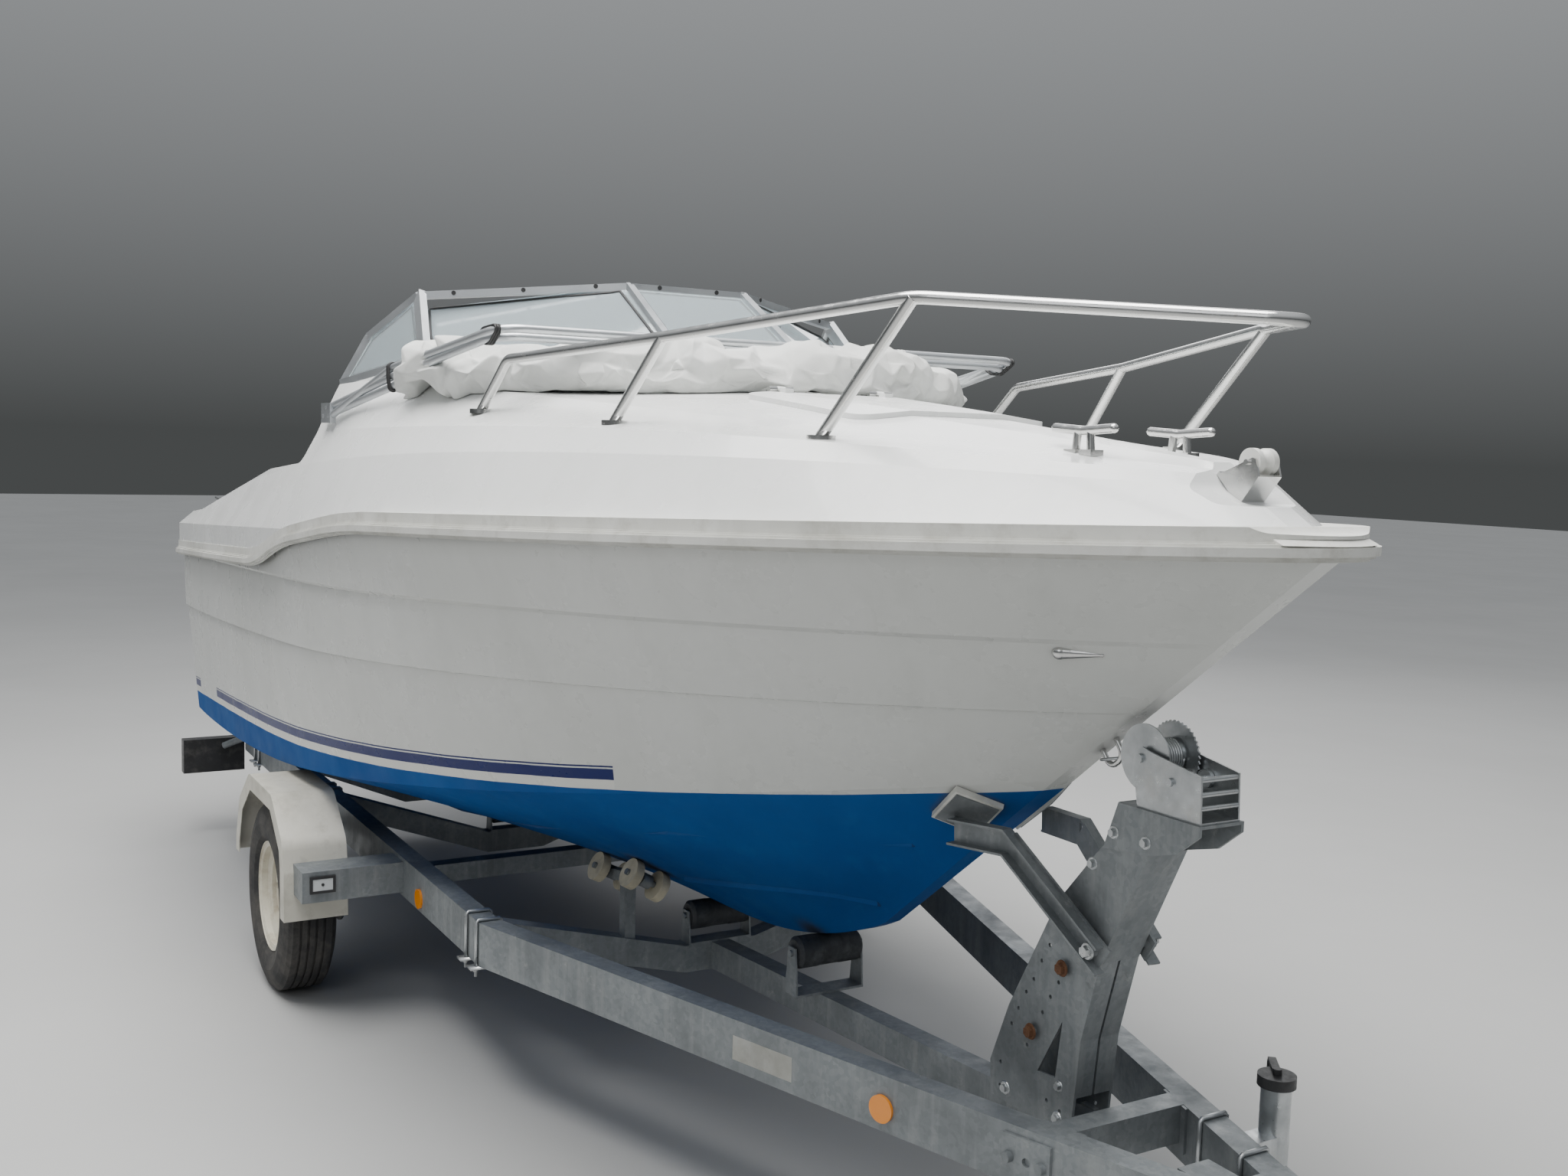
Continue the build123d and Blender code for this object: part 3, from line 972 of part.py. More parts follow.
# Drawbar between gusset plates, and the ball coupling on its end
GUSSET_AFT_X, GUSSET_FORE_X, GUSSET_THICK, PACKING_AFT_X = 3185, 3360, 6, 3215
drawbar = block(DRAWBAR_AFT_X, DRAWBAR_FORE_X, -DRAWBAR_HALF, DRAWBAR_HALF, DRAWBAR_LOW_Z, DRAWBAR_TOP_Z)
for z0, z1 in ((DRAWBAR_TOP_Z, RAIL_TOP_Z), (RAIL_TOP_Z - RAIL_DEEP, DRAWBAR_LOW_Z)):
    drawbar += block(PACKING_AFT_X, GUSSET_FORE_X, -DRAWBAR_HALF, DRAWBAR_HALF, z0, z1)
gussets = []
for z in (RAIL_TOP_Z, RAIL_TOP_Z - RAIL_DEEP - GUSSET_THICK):
    reach = [rail_y(x) + RAIL_WIDE / 2 for x in (GUSSET_AFT_X, GUSSET_FORE_X)]
    corners = [(GUSSET_AFT_X, reach[0]), (GUSSET_FORE_X, reach[1])]
    corners += [(GUSSET_FORE_X, -reach[1]), (GUSSET_AFT_X, -reach[0])]
    flat = make_face(Polyline(*corners, close=True))
    gussets.append(Pos(0, 0, z) * extrude(flat, amount=GUSSET_THICK, dir=(0, 0, 1)))
write("drawbar", [drawbar] + gussets)
CUP_RADIUS, CUP_LOW_Z, CUP_TOP_Z, SOCKET_DEEP, TONGUE = 46, 418, 482, 40, 8
coupling = block(DRAWBAR_FORE_X, BALL_X - 20, -DRAWBAR_HALF, DRAWBAR_HALF, CUP_LOW_Z + 6, DRAWBAR_TOP_Z)
tongue_x = DRAWBAR_FORE_X - 110, DRAWBAR_FORE_X + 1
coupling += block(*tongue_x, -DRAWBAR_HALF, DRAWBAR_HALF, DRAWBAR_TOP_Z, DRAWBAR_TOP_Z + TONGUE)
coupling += Pos(BALL_X, 0, (CUP_LOW_Z + CUP_TOP_Z) / 2) * Cylinder(CUP_RADIUS, CUP_TOP_Z - CUP_LOW_Z)
coupling += Pos(BALL_X, 0, CUP_TOP_Z) * Sphere(30)
coupling -= Pos(BALL_X, 0, CUP_LOW_Z - 10) * Cylinder(
    BALL_RADIUS, SOCKET_DEEP + 10, align=(Align.CENTER, Align.CENTER, Align.MIN)
)
coupling += bar((BALL_X + 25, 0, CUP_TOP_Z + 24), (DRAWBAR_FORE_X - 10, 0, CUP_TOP_Z + 58), 34, 8)
coupling += block(BALL_X - 55, BALL_X - 35, -12, 12, CUP_TOP_Z - 4, CUP_TOP_Z + 40)
write("coupling", coupling)

# Axle, trailing arms, stubs and brake back plates
ARM_IN, ARM_OUT, ARM_DEEP, DRUM_RADIUS, DRUM_IN, DRUM_OUT = 782, 806, 56, 100, 852, 905
STUB_END, PLATE_IN = TRACK_HALF - 15, 836
AXLE_Z = RAIL_TOP_Z - RAIL_DEEP - AXLE_TUBE / 2
tube_x0, tube_x1 = AXLE_TUBE_X - AXLE_TUBE / 2, AXLE_TUBE_X + AXLE_TUBE / 2
axle = block(tube_x0, tube_x1, -ARM_IN, ARM_IN, AXLE_Z - AXLE_TUBE / 2, AXLE_Z + AXLE_TUBE / 2)
for side in (1, -1):
    mid_y = side * (ARM_IN + ARM_OUT) / 2
    y0, y1 = sorted((side * (ARM_IN - 1), side * ARM_OUT))
    axle += bar((AXLE_TUBE_X, mid_y, AXLE_Z), (0, mid_y, TYRE_RADIUS), ARM_OUT - ARM_IN, ARM_DEEP)
    axle += rod((AXLE_TUBE_X, y0, AXLE_Z), (AXLE_TUBE_X, y1, AXLE_Z), 38)
    axle += rod((0, y0, TYRE_RADIUS), (0, y1, TYRE_RADIUS), 36)
    axle += rod((0, side * (ARM_OUT - 2), TYRE_RADIUS), (0, side * STUB_END, TYRE_RADIUS), STUB_RADIUS)
    axle += rod((0, side * PLATE_IN, TYRE_RADIUS), (0, side * (PLATE_IN + 5), TYRE_RADIUS), DRUM_RADIUS + 6)
    axle += rod((0, side * (ARM_OUT - 2), TYRE_RADIUS), (0, side * (PLATE_IN + 1), TYRE_RADIUS), 30)
write("axle", axle)

# Road wheels
RIM_HALF, SEAT_RADIUS, DROP_RADIUS, RIM_WALL, LIP_RADIUS = 68, 165, 142, 3.5, 178
HUB_RADIUS_OUT, BOLT_CIRCLE, BOLTS, BOLT_RADIUS, VENT_HOLES = 66, 56, 4, 7, 8
TREAD_HALF, GROOVES, GROOVE_WIDE, GROOVE_DEEP = 60, 4, 7, 6


def tyre_outline():
    """Right half of the tyre's section from bead to tread, then the carcass inside it."""
    grooves = []
    pitch = 2 * TREAD_HALF / (GROOVES + 1)
    for index in range(GROOVES):
        centre = TREAD_HALF - pitch * (index + 1)
        for shift, deep in ((1, 0), (1, 1), (-1, 1), (-1, 0)):
            grooves.append((centre + shift * GROOVE_WIDE / 2, TYRE_RADIUS - deep * GROOVE_DEEP))
    outer = [(46, SEAT_RADIUS + 0.3), (63, SEAT_RADIUS + 0.3), (63, LIP_RADIUS)]
    outer += [(TYRE_WIDE / 2 - 8, 196), (TYRE_WIDE / 2, 236)]
    outer += [(TYRE_WIDE / 2 - 6, 268), (72, 292), (TREAD_HALF + 3, 301), (TREAD_HALF, TYRE_RADIUS)]
    inner = [(-46, SEAT_RADIUS + 0.3), (-50, 185), (-TYRE_WIDE / 2 + 14, 205)]
    inner += [(-TYRE_WIDE / 2 + 10, 240), (-60, 284)]
    mirrored = [(-y, r) for y, r in reversed(outer)]
    return outer + grooves + mirrored + inner[1:] + [(-y, r) for y, r in reversed(inner[1:])]


rim_profile = [(RIM_HALF, LIP_RADIUS), (RIM_HALF - 3, LIP_RADIUS), (RIM_HALF - 5, SEAT_RADIUS)]
rim_profile += [(44, SEAT_RADIUS - 1), (34, DROP_RADIUS), (-16, DROP_RADIUS), (-30, SEAT_RADIUS - 1)]
rim_profile += [(-RIM_HALF + 5, SEAT_RADIUS), (-RIM_HALF + 3, LIP_RADIUS), (-RIM_HALF, LIP_RADIUS)]
rim_back = [(y * 0.97, radius - RIM_WALL - 1) for y, radius in reversed(rim_profile)]
rim_back[0] = (-RIM_HALF, 174)
rim_back[-1] = (RIM_HALF, 174)
for side, word in ((1, "left"), (-1, "right")):
    y = side * TRACK_HALF
    write(f"tyre_{word}", Pos(0, 0, TYRE_RADIUS) * ring_y([(side * a, r) for a, r in tyre_outline()], y))
    barrel = ring_y([(side * a, r) for a, r in rim_profile + rim_back], y)
    disc = [(0, DROP_RADIUS - 2), (6, DROP_RADIUS - 2), (22, 122), (20, 98)]
    disc += [(-14, 82), (-16, 30), (-21, 30), (-20, 88)]
    disc += [(12, 104), (13, 118)]
    dish = ring_y([(side * a, r) for a, r in disc], y)
    for index in range(VENT_HOLES):
        hole = Rot(0, 360 / VENT_HOLES * index, 0) * Pos(0, y, 110) * Rot(90, 0, 0) * Cylinder(12, 80)
        dish -= hole
    rim = Pos(0, 0, TYRE_RADIUS) * (barrel + dish)
    write(f"rim_{word}", rim)
    start, stop = side * DRUM_IN, y + side * -21.3
    hub = rod((0, start, TYRE_RADIUS), (0, side * DRUM_OUT, TYRE_RADIUS), DRUM_RADIUS)
    hub += rod((0, start, TYRE_RADIUS), (0, stop, TYRE_RADIUS), HUB_RADIUS_OUT)
    hub += rod((0, stop, TYRE_RADIUS), (0, y + side * 24, TYRE_RADIUS), 29)
    for index in range(BOLTS):
        angle = 2 * pi * (index + 0.5) / BOLTS
        x, z = BOLT_CIRCLE * cos(angle), TYRE_RADIUS + BOLT_CIRCLE * sin(angle)
        hub += rod((x, y - side * 14.2, z), (x, y - side * 2, z), BOLT_RADIUS + 3)
    bore = (0, start - side, TYRE_RADIUS), (0, side * (STUB_END + 2), TYRE_RADIUS)
    hub -= rod(*bore, STUB_RADIUS + RUNNING_GAP)
    write(f"hub_{word}", hub)

# Mudguards with their lip, and the arms that carry them
GUARD_IN, GUARD_OUT, GUARD_THICK, GUARD_LIP = 895, 1090, 3, 52
GUARD_LINE = [(360, 100), (352, 470), (330, 560), (172, 680)]
GUARD_LINE += [(-172, 680), (-330, 566), (-392, 420), (-400, 100)]
GUARD_FORE_Z, GUARD_AFT_Z = 320, 370
guard_face = make_face(Polyline(*GUARD_LINE, close=True))
guard_face = fillet(guard_face.vertices().filter_by(lambda v: v.Y > 200), 55)
mudguards = []
for side in (1, -1):

    def guard_slab(face, y0, y1):
        slab = Rot(90, 0, 0) * extrude(face, amount=y1 - y0)
        return Pos(0, y1, 0) * slab

    outer = guard_slab(guard_face, GUARD_IN, GUARD_OUT)
    outer -= guard_slab(offset(guard_face, -GUARD_THICK), GUARD_IN - 1, GUARD_OUT - GUARD_THICK)
    outer -= guard_slab(offset(guard_face, -GUARD_LIP, kind=Kind.INTERSECTION), GUARD_IN - 1, GUARD_OUT + 1)
    outer -= block(0, 500, 800, 1200, 0, GUARD_FORE_Z) + block(-500, 0, 800, 1200, 0, GUARD_AFT_Z)
    mudguards.append(outer if side > 0 else mirror(outer, Plane.XZ))
write("mudguards", mudguards)
guard_arms, rail_out = [], RAIL_Y + RAIL_WIDE / 2
for side in (1, -1):
    y0, y1 = sorted((side * rail_out, side * (GUARD_OUT - 30)))
    fore = block(335, 465, y0, y1, 405, 500) - guard_slab(guard_face, GUARD_IN - 200, GUARD_OUT)
    fore -= mirror(guard_slab(guard_face, GUARD_IN - 200, GUARD_OUT), Plane.XZ)
    aft = block(-440, -370, y0, y1, 400, 440) - guard_slab(guard_face, GUARD_IN - 200, GUARD_OUT)
    aft -= mirror(guard_slab(guard_face, GUARD_IN - 200, GUARD_OUT), Plane.XZ)
    guard_arms += [max(fore.solids(), key=lambda q: q.volume), aft]

# Rollers: keel rollers on their brackets, pairs of hull rollers on posts
def keel_roller(x, base_z):
    """Roller under the keel with its pin and two-cheeked bracket."""
    centre_z = keel_height(x) - KEEL_ROLLER_GAP - KEEL_ROLLER_RADIUS
    profile = [(-KEEL_ROLLER_HALF, 34), (-KEEL_ROLLER_HALF + 8, KEEL_ROLLER_RADIUS)]
    profile.append((-35, KEEL_ROLLER_RADIUS))
    profile += [(-28, KEEL_ROLLER_RADIUS - 1), (28, KEEL_ROLLER_RADIUS - 1), (35, KEEL_ROLLER_RADIUS)]
    profile += [(KEEL_ROLLER_HALF - 8, KEEL_ROLLER_RADIUS), (KEEL_ROLLER_HALF, 34)]
    profile += [(KEEL_ROLLER_HALF, ROLLER_PIN + SEAT_GAP), (-KEEL_ROLLER_HALF, ROLLER_PIN + SEAT_GAP)]
    roller = Pos(x, 0, centre_z) * ring_y(profile, 0)
    reach = KEEL_ROLLER_HALF + 3
    bracket = rod((x, -reach - 12, centre_z), (x, reach + 12, centre_z), ROLLER_PIN)
    for side in (1, -1):
        y0, y1 = sorted((side * reach, side * (reach + 5)))
        sides = [(x - 30, base_z), (x + 30, base_z), (x + 18, centre_z + 16), (x - 18, centre_z + 16)]
        bracket += prism_xz(sides, y0, y1)
    bracket += block(x - 30, x + 30, -reach - 5, reach + 5, base_z, base_z + 6)
    return roller, bracket


keel_rollers, roller_brackets = [], []
for x, _, centre_z in CROSSINGS:
    roller, bracket = keel_roller(x, centre_z)
    keel_rollers.append(roller)
    roller_brackets.append(bracket)
BEAM_ROLLER_X = 1736
roller, bracket = keel_roller(BEAM_ROLLER_X, beam_top(BEAM_ROLLER_X + 30))
keel_rollers.append(roller)
bracket -= prism_xz(beam_line, -BEAM_WIDE / 2, BEAM_WIDE / 2)
roller_brackets.append(bracket)
write("keel_rollers", keel_rollers)

DISC_RADIUS, DISC_WIDE, DISC_APART, POST_HALF = 42, 26, 46, 16
CRADLES = [(CROSSINGS[0], 270, (0,)), (CROSSINGS[2], 270, (-115, 115))]
hull_rollers = []
for (x, end_z, centre_z), y, shifts in CRADLES:
    base_z = centre_z + (end_z - centre_z) * (y + 30 - FLAT_HALF) / (CROSS_END - FLAT_HALF)
    for side in (1, -1):
        centres, support = [], None
        for shift in shifts:
            here, there = hull_under(x + shift, side * (y - 30)), hull_under(x + shift, side * (y + 30))
            slope = atan2(there - here, 60)
            normal = Vector(0, -side * sin(slope), cos(slope))
            along = Vector(0, cos(slope), side * sin(slope))
            centre = Vector(x + shift, side * y, (here + there) / 2) - normal * (DISC_RADIUS + 2)
            axis_end = DISC_APART + DISC_WIDE / 2 + 8
            pin = rod(tuple(centre - along * axis_end), tuple(centre + along * axis_end), ROLLER_PIN)
            pin += Plane(origin=centre, x_dir=(1, 0, 0), z_dir=along) * Cylinder(20, 2 * POST_HALF)
            support = pin if support is None else support + pin
            for apart in (-DISC_APART, DISC_APART):
                disc_plane = Plane(origin=centre + along * apart, x_dir=(1, 0, 0), z_dir=along)
                disc = disc_plane * (Cylinder(DISC_RADIUS, DISC_WIDE) - Cylinder(ROLLER_PIN + SEAT_GAP, 100))
                hull_rollers.append(disc - hull_body(-SEAT_GAP))
            centres.append(centre)
        middle = sum(centres, Vector(0, 0, 0)) * (1 / len(centres))
        if len(centres) > 1:
            support += bar(tuple(centres[0]), tuple(centres[-1]), 2 * POST_HALF - 4, 30)
        column = block(x - 20, x + 20, middle.Y - POST_HALF, middle.Y + POST_HALF, 150, middle.Z)
        support += column - cross_members[0] - cross_members[2]
        support -= block(x - 50, x + 50, -900, 900, 100, base_z - 60)
        support = max(support.solids(), key=lambda q: q.volume)
        roller_brackets.append(support)
write("hull_rollers", [max(item.solids(), key=lambda q: q.volume) for item in hull_rollers])
write("roller_brackets", roller_brackets)

# Winch post: two side plates under a box column, with the winch platform on top
POST_IN, POST_PLATE = 45, 6
POST_OUTLINE = [(2510, 425), (2505, 500), (2560, 640), (2700, 905)]
POST_OUTLINE += [(2800, 905), (2836, 815), (2790, 640), (2770, 425)]
POST_HOLE = [(2733, 662), (2662, 532), (2718, 537)]
# Inward flange on each plate's front edge, and the rows of holes along the plate's edges
POST_FLANGE = [(2836, 815), (2790, 640), (2778, 515), (2772, 515), (2784, 641), (2830, 816)]
POST_SLIT, ROW_HOLE = 6, 4.5
ROW_HOLES = [(2706, 850), (2684, 808), (2661, 768), (2638, 721), (2616, 686), (2593, 643), (2573, 602)]
ROW_HOLES += [(2716, 739), (2693, 701), (2670, 660), (2626, 574)]
ROW_HOLES += [(2541, 506), (2542, 454), (2695, 480), (2737, 473)]
HEAD = [(2834, 1051), (2871, 1150), (3085, 1150), (3085, 1130), (3029, 1085), (2953, 1064)]
post = None
for side in (1, -1):
    y0, y1 = sorted((side * POST_IN, side * (POST_IN + POST_PLATE)))
    plate = prism_xz(POST_OUTLINE, y0, y1) - prism_xz(POST_HOLE, y0 - 1, y1 + 1)
    upper = [(2640, 790), (2700, 905), (2826, 1052), (2953, 1064), (2836, 815), (2790, 700)]
    plate += prism_xz(upper, y0, y1)
    y0, y1 = sorted((side * (POST_IN + POST_PLATE - 1), side * (POST_IN + 2 * POST_PLATE)))
    plate += prism_xz(HEAD, y0, y1)
    post = plate if post is None else post + plate
for side in (1, -1):
    y0, y1 = sorted((side * POST_SLIT / 2, side * (POST_IN + 1)))
    post += prism_xz(POST_FLANGE, y0, y1)
post += prism_xz([(2871, 1144), (2868, 1150), (3085, 1150), (3085, 1144)], -POST_IN - 8, POST_IN + 8)
post += prism_xz([(2829, 815), (2836, 815), (2953, 1064), (2945, 1064)], -POST_IN - 1, POST_IN + 1)
for x, z in ((2560, 455), (2730, 462)):
    post += block(x - 20, x + 20, BEAM_WIDE / 2, POST_IN + 1, z - 26, z + 4)
    post += block(x - 20, x + 20, -POST_IN - 1, -BEAM_WIDE / 2, z - 26, z + 4)
for x, z in ((2730, 775), (2645, 611)):
    post += rod((x, -POST_IN - POST_PLATE - 9, z), (x, POST_IN + POST_PLATE + 9, z), 11)
for x, z in ROW_HOLES:
    post -= rod((x, -POST_IN - 20, z), (x, POST_IN + 20, z), ROW_HOLE)
write("winch_post", post)

# Winch: drum between two flanges, the port one toothed, in a bent cheek frame
DRUM_AT, FLANGE_RADIUS, FLANGE_AT, WINCH_Z, TEETH = (2918, 1245), 66, 36, 1150, 40
cheek = [(2915, WINCH_Z), (2898, 1238), (2905, 1258), (2922, 1268)]
cheek += [(2942, 1262), (3076, 1240), (3080, WINCH_Z)]
winch = block(2915, 3080, -50, 50, WINCH_Z, WINCH_Z + 4)
for side in (1, -1):
    y0, y1 = sorted((side * 46, side * 50))
    winch += prism_xz(cheek, y0, y1)
winch += rod((DRUM_AT[0], -56, DRUM_AT[1]), (DRUM_AT[0], 56, DRUM_AT[1]), 9)
winch += rod((3000, -56, 1215), (3000, 92, 1215), 8) + rod((3000, 36, 1215), (3000, 45, 1215), 18)
for x, z in ((3070, 1232), (3072, 1205), (3074, 1180), (2960, 1180)):
    winch += rod((x, -48, z), (x, 48, z), 5)
write("winch_frame", winch)
drum = rod((DRUM_AT[0], -FLANGE_AT, DRUM_AT[1]), (DRUM_AT[0], FLANGE_AT, DRUM_AT[1]), 30)
drum += rod((DRUM_AT[0], -FLANGE_AT - 3, DRUM_AT[1]), (DRUM_AT[0], -FLANGE_AT, DRUM_AT[1]), FLANGE_RADIUS)
gear_wheel = [
    (DRUM_AT[0] + r * cos(2 * pi * i / (2 * TEETH)), 0, DRUM_AT[1] + r * sin(2 * pi * i / (2 * TEETH)))
    for i in range(2 * TEETH)
    for r in ((FLANGE_RADIUS + 2) if i % 2 else FLANGE_RADIUS - 2,)
]
gear_face = make_face(Polyline(*gear_wheel, close=True))
drum += Pos(0, FLANGE_AT, 0) * extrude(gear_face, amount=4, dir=(0, 1, 0))
drum -= rod((DRUM_AT[0], -60, DRUM_AT[1]), (DRUM_AT[0], 60, DRUM_AT[1]), 9 + RUNNING_GAP)
WIRE_RADIUS = 3
wire_start = (DRUM_AT[0] - 8, 0, DRUM_AT[1] + 30 + WIRE_RADIUS + SEAT_GAP)
eye_mid = stem_at + eye_out * 42
wire_end = (eye_mid.X + 17, 0, eye_mid.Z + 4)
wire = capsule(wire_start, wire_end, WIRE_RADIUS) - drum
write("winch_drum", [drum, max(wire.solids(), key=lambda q: q.volume)])

# Bow stops: two channel arms with white pads shaped to the bow
ARM_LOW, ARM_BEND, ARM_TIP = (2858, 62, 830), (2596, 96, 1010), (2440, 122, 1000)
ARM_WEB, ARM_HIGH, ARM_FLANGE = 6, 56, 28
PAD_AT, PAD_OUT, PAD_ALONG = (2455, 102, 1050), (0.494, 0.522, -0.695), (0.39, -0.84, -0.36)
PAD_LONG, PAD_WIDE, PAD_THICK = 112, 128, 26
pad_outside, pad_inside = hull_body(-PAD_THICK), hull_body(-SEAT_GAP)
arm_limit, plate_outside = hull_body(-PAD_THICK - SEAT_GAP), hull_body(-PAD_THICK - SEAT_GAP - ARM_WEB)
bow_stops, stop_pads = [], []
for turn in (lambda q: q, flip):
    arm = bar(turn(ARM_LOW), turn(ARM_BEND), ARM_WEB, ARM_HIGH)
    arm += bar(turn(ARM_BEND), turn(ARM_TIP), ARM_WEB, ARM_HIGH)
    for shift in (2 - ARM_HIGH / 2, ARM_HIGH / 2 - 2):
        low_a, bend_a, tip_a = [
            turn((q[0], q[1] + (ARM_FLANGE - ARM_WEB) / 2, q[2] + shift))
            for q in (ARM_LOW, ARM_BEND, ARM_TIP)
        ]
        arm += bar(low_a, bend_a, ARM_FLANGE, 5) + bar(bend_a, tip_a, ARM_FLANGE, 5)
    bolt_y = turn((0, POST_IN + POST_PLATE, 0))[1]
    arm += rod((2834, bolt_y, 846), (2834, turn((0, 84, 0))[1], 846), 12)
    arm -= arm_limit
    out, along = Vector(*turn(PAD_OUT)), Vector(*turn(PAD_ALONG))
    along = (along - out * along.dot(out)).normalized()
    pad_plane = Plane(origin=Vector(*turn(PAD_AT)), x_dir=along, z_dir=out)
    zone = pad_plane * Box(PAD_LONG, PAD_WIDE, 4 * PAD_THICK)
    stop = (pad_outside & zone) - pad_inside
    stop_pads.append(max(stop.solids(), key=lambda q: q.volume))
    zone = pad_plane * Box(PAD_LONG - 12, PAD_WIDE - 14, 4 * PAD_THICK)
    arm += (plate_outside & zone) - arm_limit
    bow_stops.append(max(arm.solids(), key=lambda q: q.volume))
write("bow_stops", bow_stops)
write("stop_pads", stop_pads)

# Lamps and reflectors
LAMP_X, LAMP_IN, LAMP_OUT, LAMP_LOW, LAMP_HIGH, LAMP_DEEP = -2080, 740, 1000, 285, 435, 60
lamp_units, lamp_arms, lenses = [], [], []
for side in (1, -1):
    y0, y1 = sorted((side * LAMP_IN, side * LAMP_OUT))
    lamp_units.append(block(LAMP_X - LAMP_DEEP, LAMP_X, y0, y1, LAMP_LOW, LAMP_HIGH))
    lens = block(LAMP_X - LAMP_DEEP - 12, LAMP_X - LAMP_DEEP, y0 + 12, y1 - 12, LAMP_LOW + 12, LAMP_HIGH - 12)
    lenses.append(lens)
    arm = rod((RAIL_AFT_X - 10, side * RAIL_Y, 455), (LAMP_X - 1, side * 830, 400), 15)
    arm += Pos(RAIL_AFT_X - 10, side * RAIL_Y, 455) * Sphere(15)
    arm += rod((RAIL_AFT_X - 10, side * RAIL_Y, 455), (RAIL_AFT_X, side * RAIL_Y, 455), 15)
    arm -= block(LAMP_X - 40, LAMP_X, y0, y1, LAMP_LOW, LAMP_HIGH)
    arm -= block(RAIL_AFT_X, RAIL_AFT_X + 40, -800, 800, 300, 600)
    lamp_arms.append(max(arm.solids(), key=lambda q: q.volume))
write("lamp_units", lamp_units)
write("outrigger_arms", guard_arms + lamp_arms)
reflectors = []
for side in (1, -1):
    out = side * rail_out
    reflectors.append(rod((633, out, 430), (633, out + side * 7, 430), 30))
    at = Vector(2500, side * (rail_y(2500) + RAIL_WIDE / 2 * taper_across), 440)
    outward = Vector(RAIL_TAPER, side, 0).normalized()
    reflectors.append(rod(tuple(at + outward * SEAT_GAP), tuple(at + outward * 7), 30))
write("side_reflectors", reflectors)
fronts = []
for side in (1, -1):
    y0, y1 = sorted((side * 970, side * 1030))
    fronts.append(block(465, 471, y0, y1, 442, 478))
write("lamp_lenses", lenses + fronts)

# Jockey wheel: clamp and outer tube on the port rail, sliding leg, swivelling fork, wheel
JOCKEY = (3030, 250)
OUTER_RADIUS, LEG_RADIUS, TUBE_LOW_Z, TUBE_TOP_Z, CAP_HIGH = 30, 24, 345, 585, 22
LEG_LOW_Z, LEG_TOP_Z, LEG_PIN, FORK_Z, FORK_THICK, FORK_RADIUS = 232, 470, 12, 216, 10, 26
JOCKEY_RADIUS, JOCKEY_WIDE, JOCKEY_TRAIL, FORK_SIDE, FORK_GAP = 100, 50, 55, 5, 6
jx, jy = JOCKEY
jockey_tube = rod((jx, jy, TUBE_LOW_Z), (jx, jy, TUBE_TOP_Z), OUTER_RADIUS)
jockey_tube -= rod((jx, jy, TUBE_LOW_Z - 1), (jx, jy, TUBE_TOP_Z + 1), LEG_RADIUS + RUNNING_GAP)
clamp_bar = block(jx - 25, jx + 25, 0, jy, 430, 490) - side_rails[0]
clamp_bar -= rod((jx, jy, 400), (jx, jy, 520), OUTER_RADIUS - 2)
jockey_tube += max((q for q in clamp_bar.solids() if q.center().Y > rail_y(jx)), key=lambda q: q.volume)
write("jockey_tube", jockey_tube)
cap = rod((jx, jy, TUBE_TOP_Z), (jx, jy, TUBE_TOP_Z + CAP_HIGH), OUTER_RADIUS + 8)
cap += rod((jx, jy, TUBE_TOP_Z + CAP_HIGH - 1), (jx, jy, TUBE_TOP_Z + CAP_HIGH + 12), 9)
cap += bar((jx, jy, TUBE_TOP_Z + CAP_HIGH + 3), (jx - 56, jy + 46, TUBE_TOP_Z + CAP_HIGH + 3), 16, 8)
cap += rod((jx - 50, jy + 41, TUBE_TOP_Z + CAP_HIGH + 3), (jx - 50, jy + 41, TUBE_TOP_Z - 60), 10)
write("jockey_crank", cap)
leg_tube = rod((jx, jy, LEG_LOW_Z), (jx, jy, LEG_TOP_Z), LEG_RADIUS)
leg_tube += rod((jx, jy, FORK_Z - 10), (jx, jy, LEG_LOW_Z + 1), LEG_PIN)
leg_tube += rod((jx, jy, FORK_Z - 10), (jx, jy, FORK_Z - 4), LEG_PIN + 5)
write("jockey_leg", leg_tube)
wheel_x = jx - JOCKEY_TRAIL
fork = rod((jx, jy, FORK_Z), (jx, jy, FORK_Z + FORK_THICK), FORK_RADIUS)
inner = JOCKEY_WIDE / 2 + FORK_GAP
fork += block(wheel_x - 18, jx, jy - inner - FORK_SIDE, jy + inner + FORK_SIDE, FORK_Z, FORK_Z + FORK_THICK)
for side in (1, -1):
    y0, y1 = sorted((jy + side * inner, jy + side * (inner + FORK_SIDE)))
    outline = [(wheel_x - 18, JOCKEY_RADIUS - 18), (wheel_x + 18, JOCKEY_RADIUS - 18)]
    outline += [(jx, FORK_Z + FORK_THICK), (wheel_x - 18, FORK_Z + FORK_THICK)]
    fork += prism_xz(outline, y0, y1)
axle_reach = inner + FORK_SIDE + 8
fork += rod((wheel_x, jy - axle_reach, JOCKEY_RADIUS), (wheel_x, jy + axle_reach, JOCKEY_RADIUS), 8)
fork -= rod((jx, jy, FORK_Z - 1), (jx, jy, FORK_Z + FORK_THICK + 1), LEG_PIN + RUNNING_GAP)
write("jockey_fork", fork)
half = JOCKEY_WIDE / 2
profile = [(-half, 60), (-half, 86), (-half + 10, JOCKEY_RADIUS)]
profile += [(half - 10, JOCKEY_RADIUS), (half, 86), (half, 60), (8, 55), (8, 20), (half, 20)]
profile += [(half, 8 + RUNNING_GAP), (-half, 8 + RUNNING_GAP), (-half, 20), (-8, 20), (-8, 55)]
write("jockey_wheel", Pos(wheel_x, 0, JOCKEY_RADIUS) * ring_y(profile, jy))

span = [shape.bounding_box() for shape in nodes.values()]
MID_X = (min(b.min.X for b in span) + max(b.max.X for b in span)) / 2

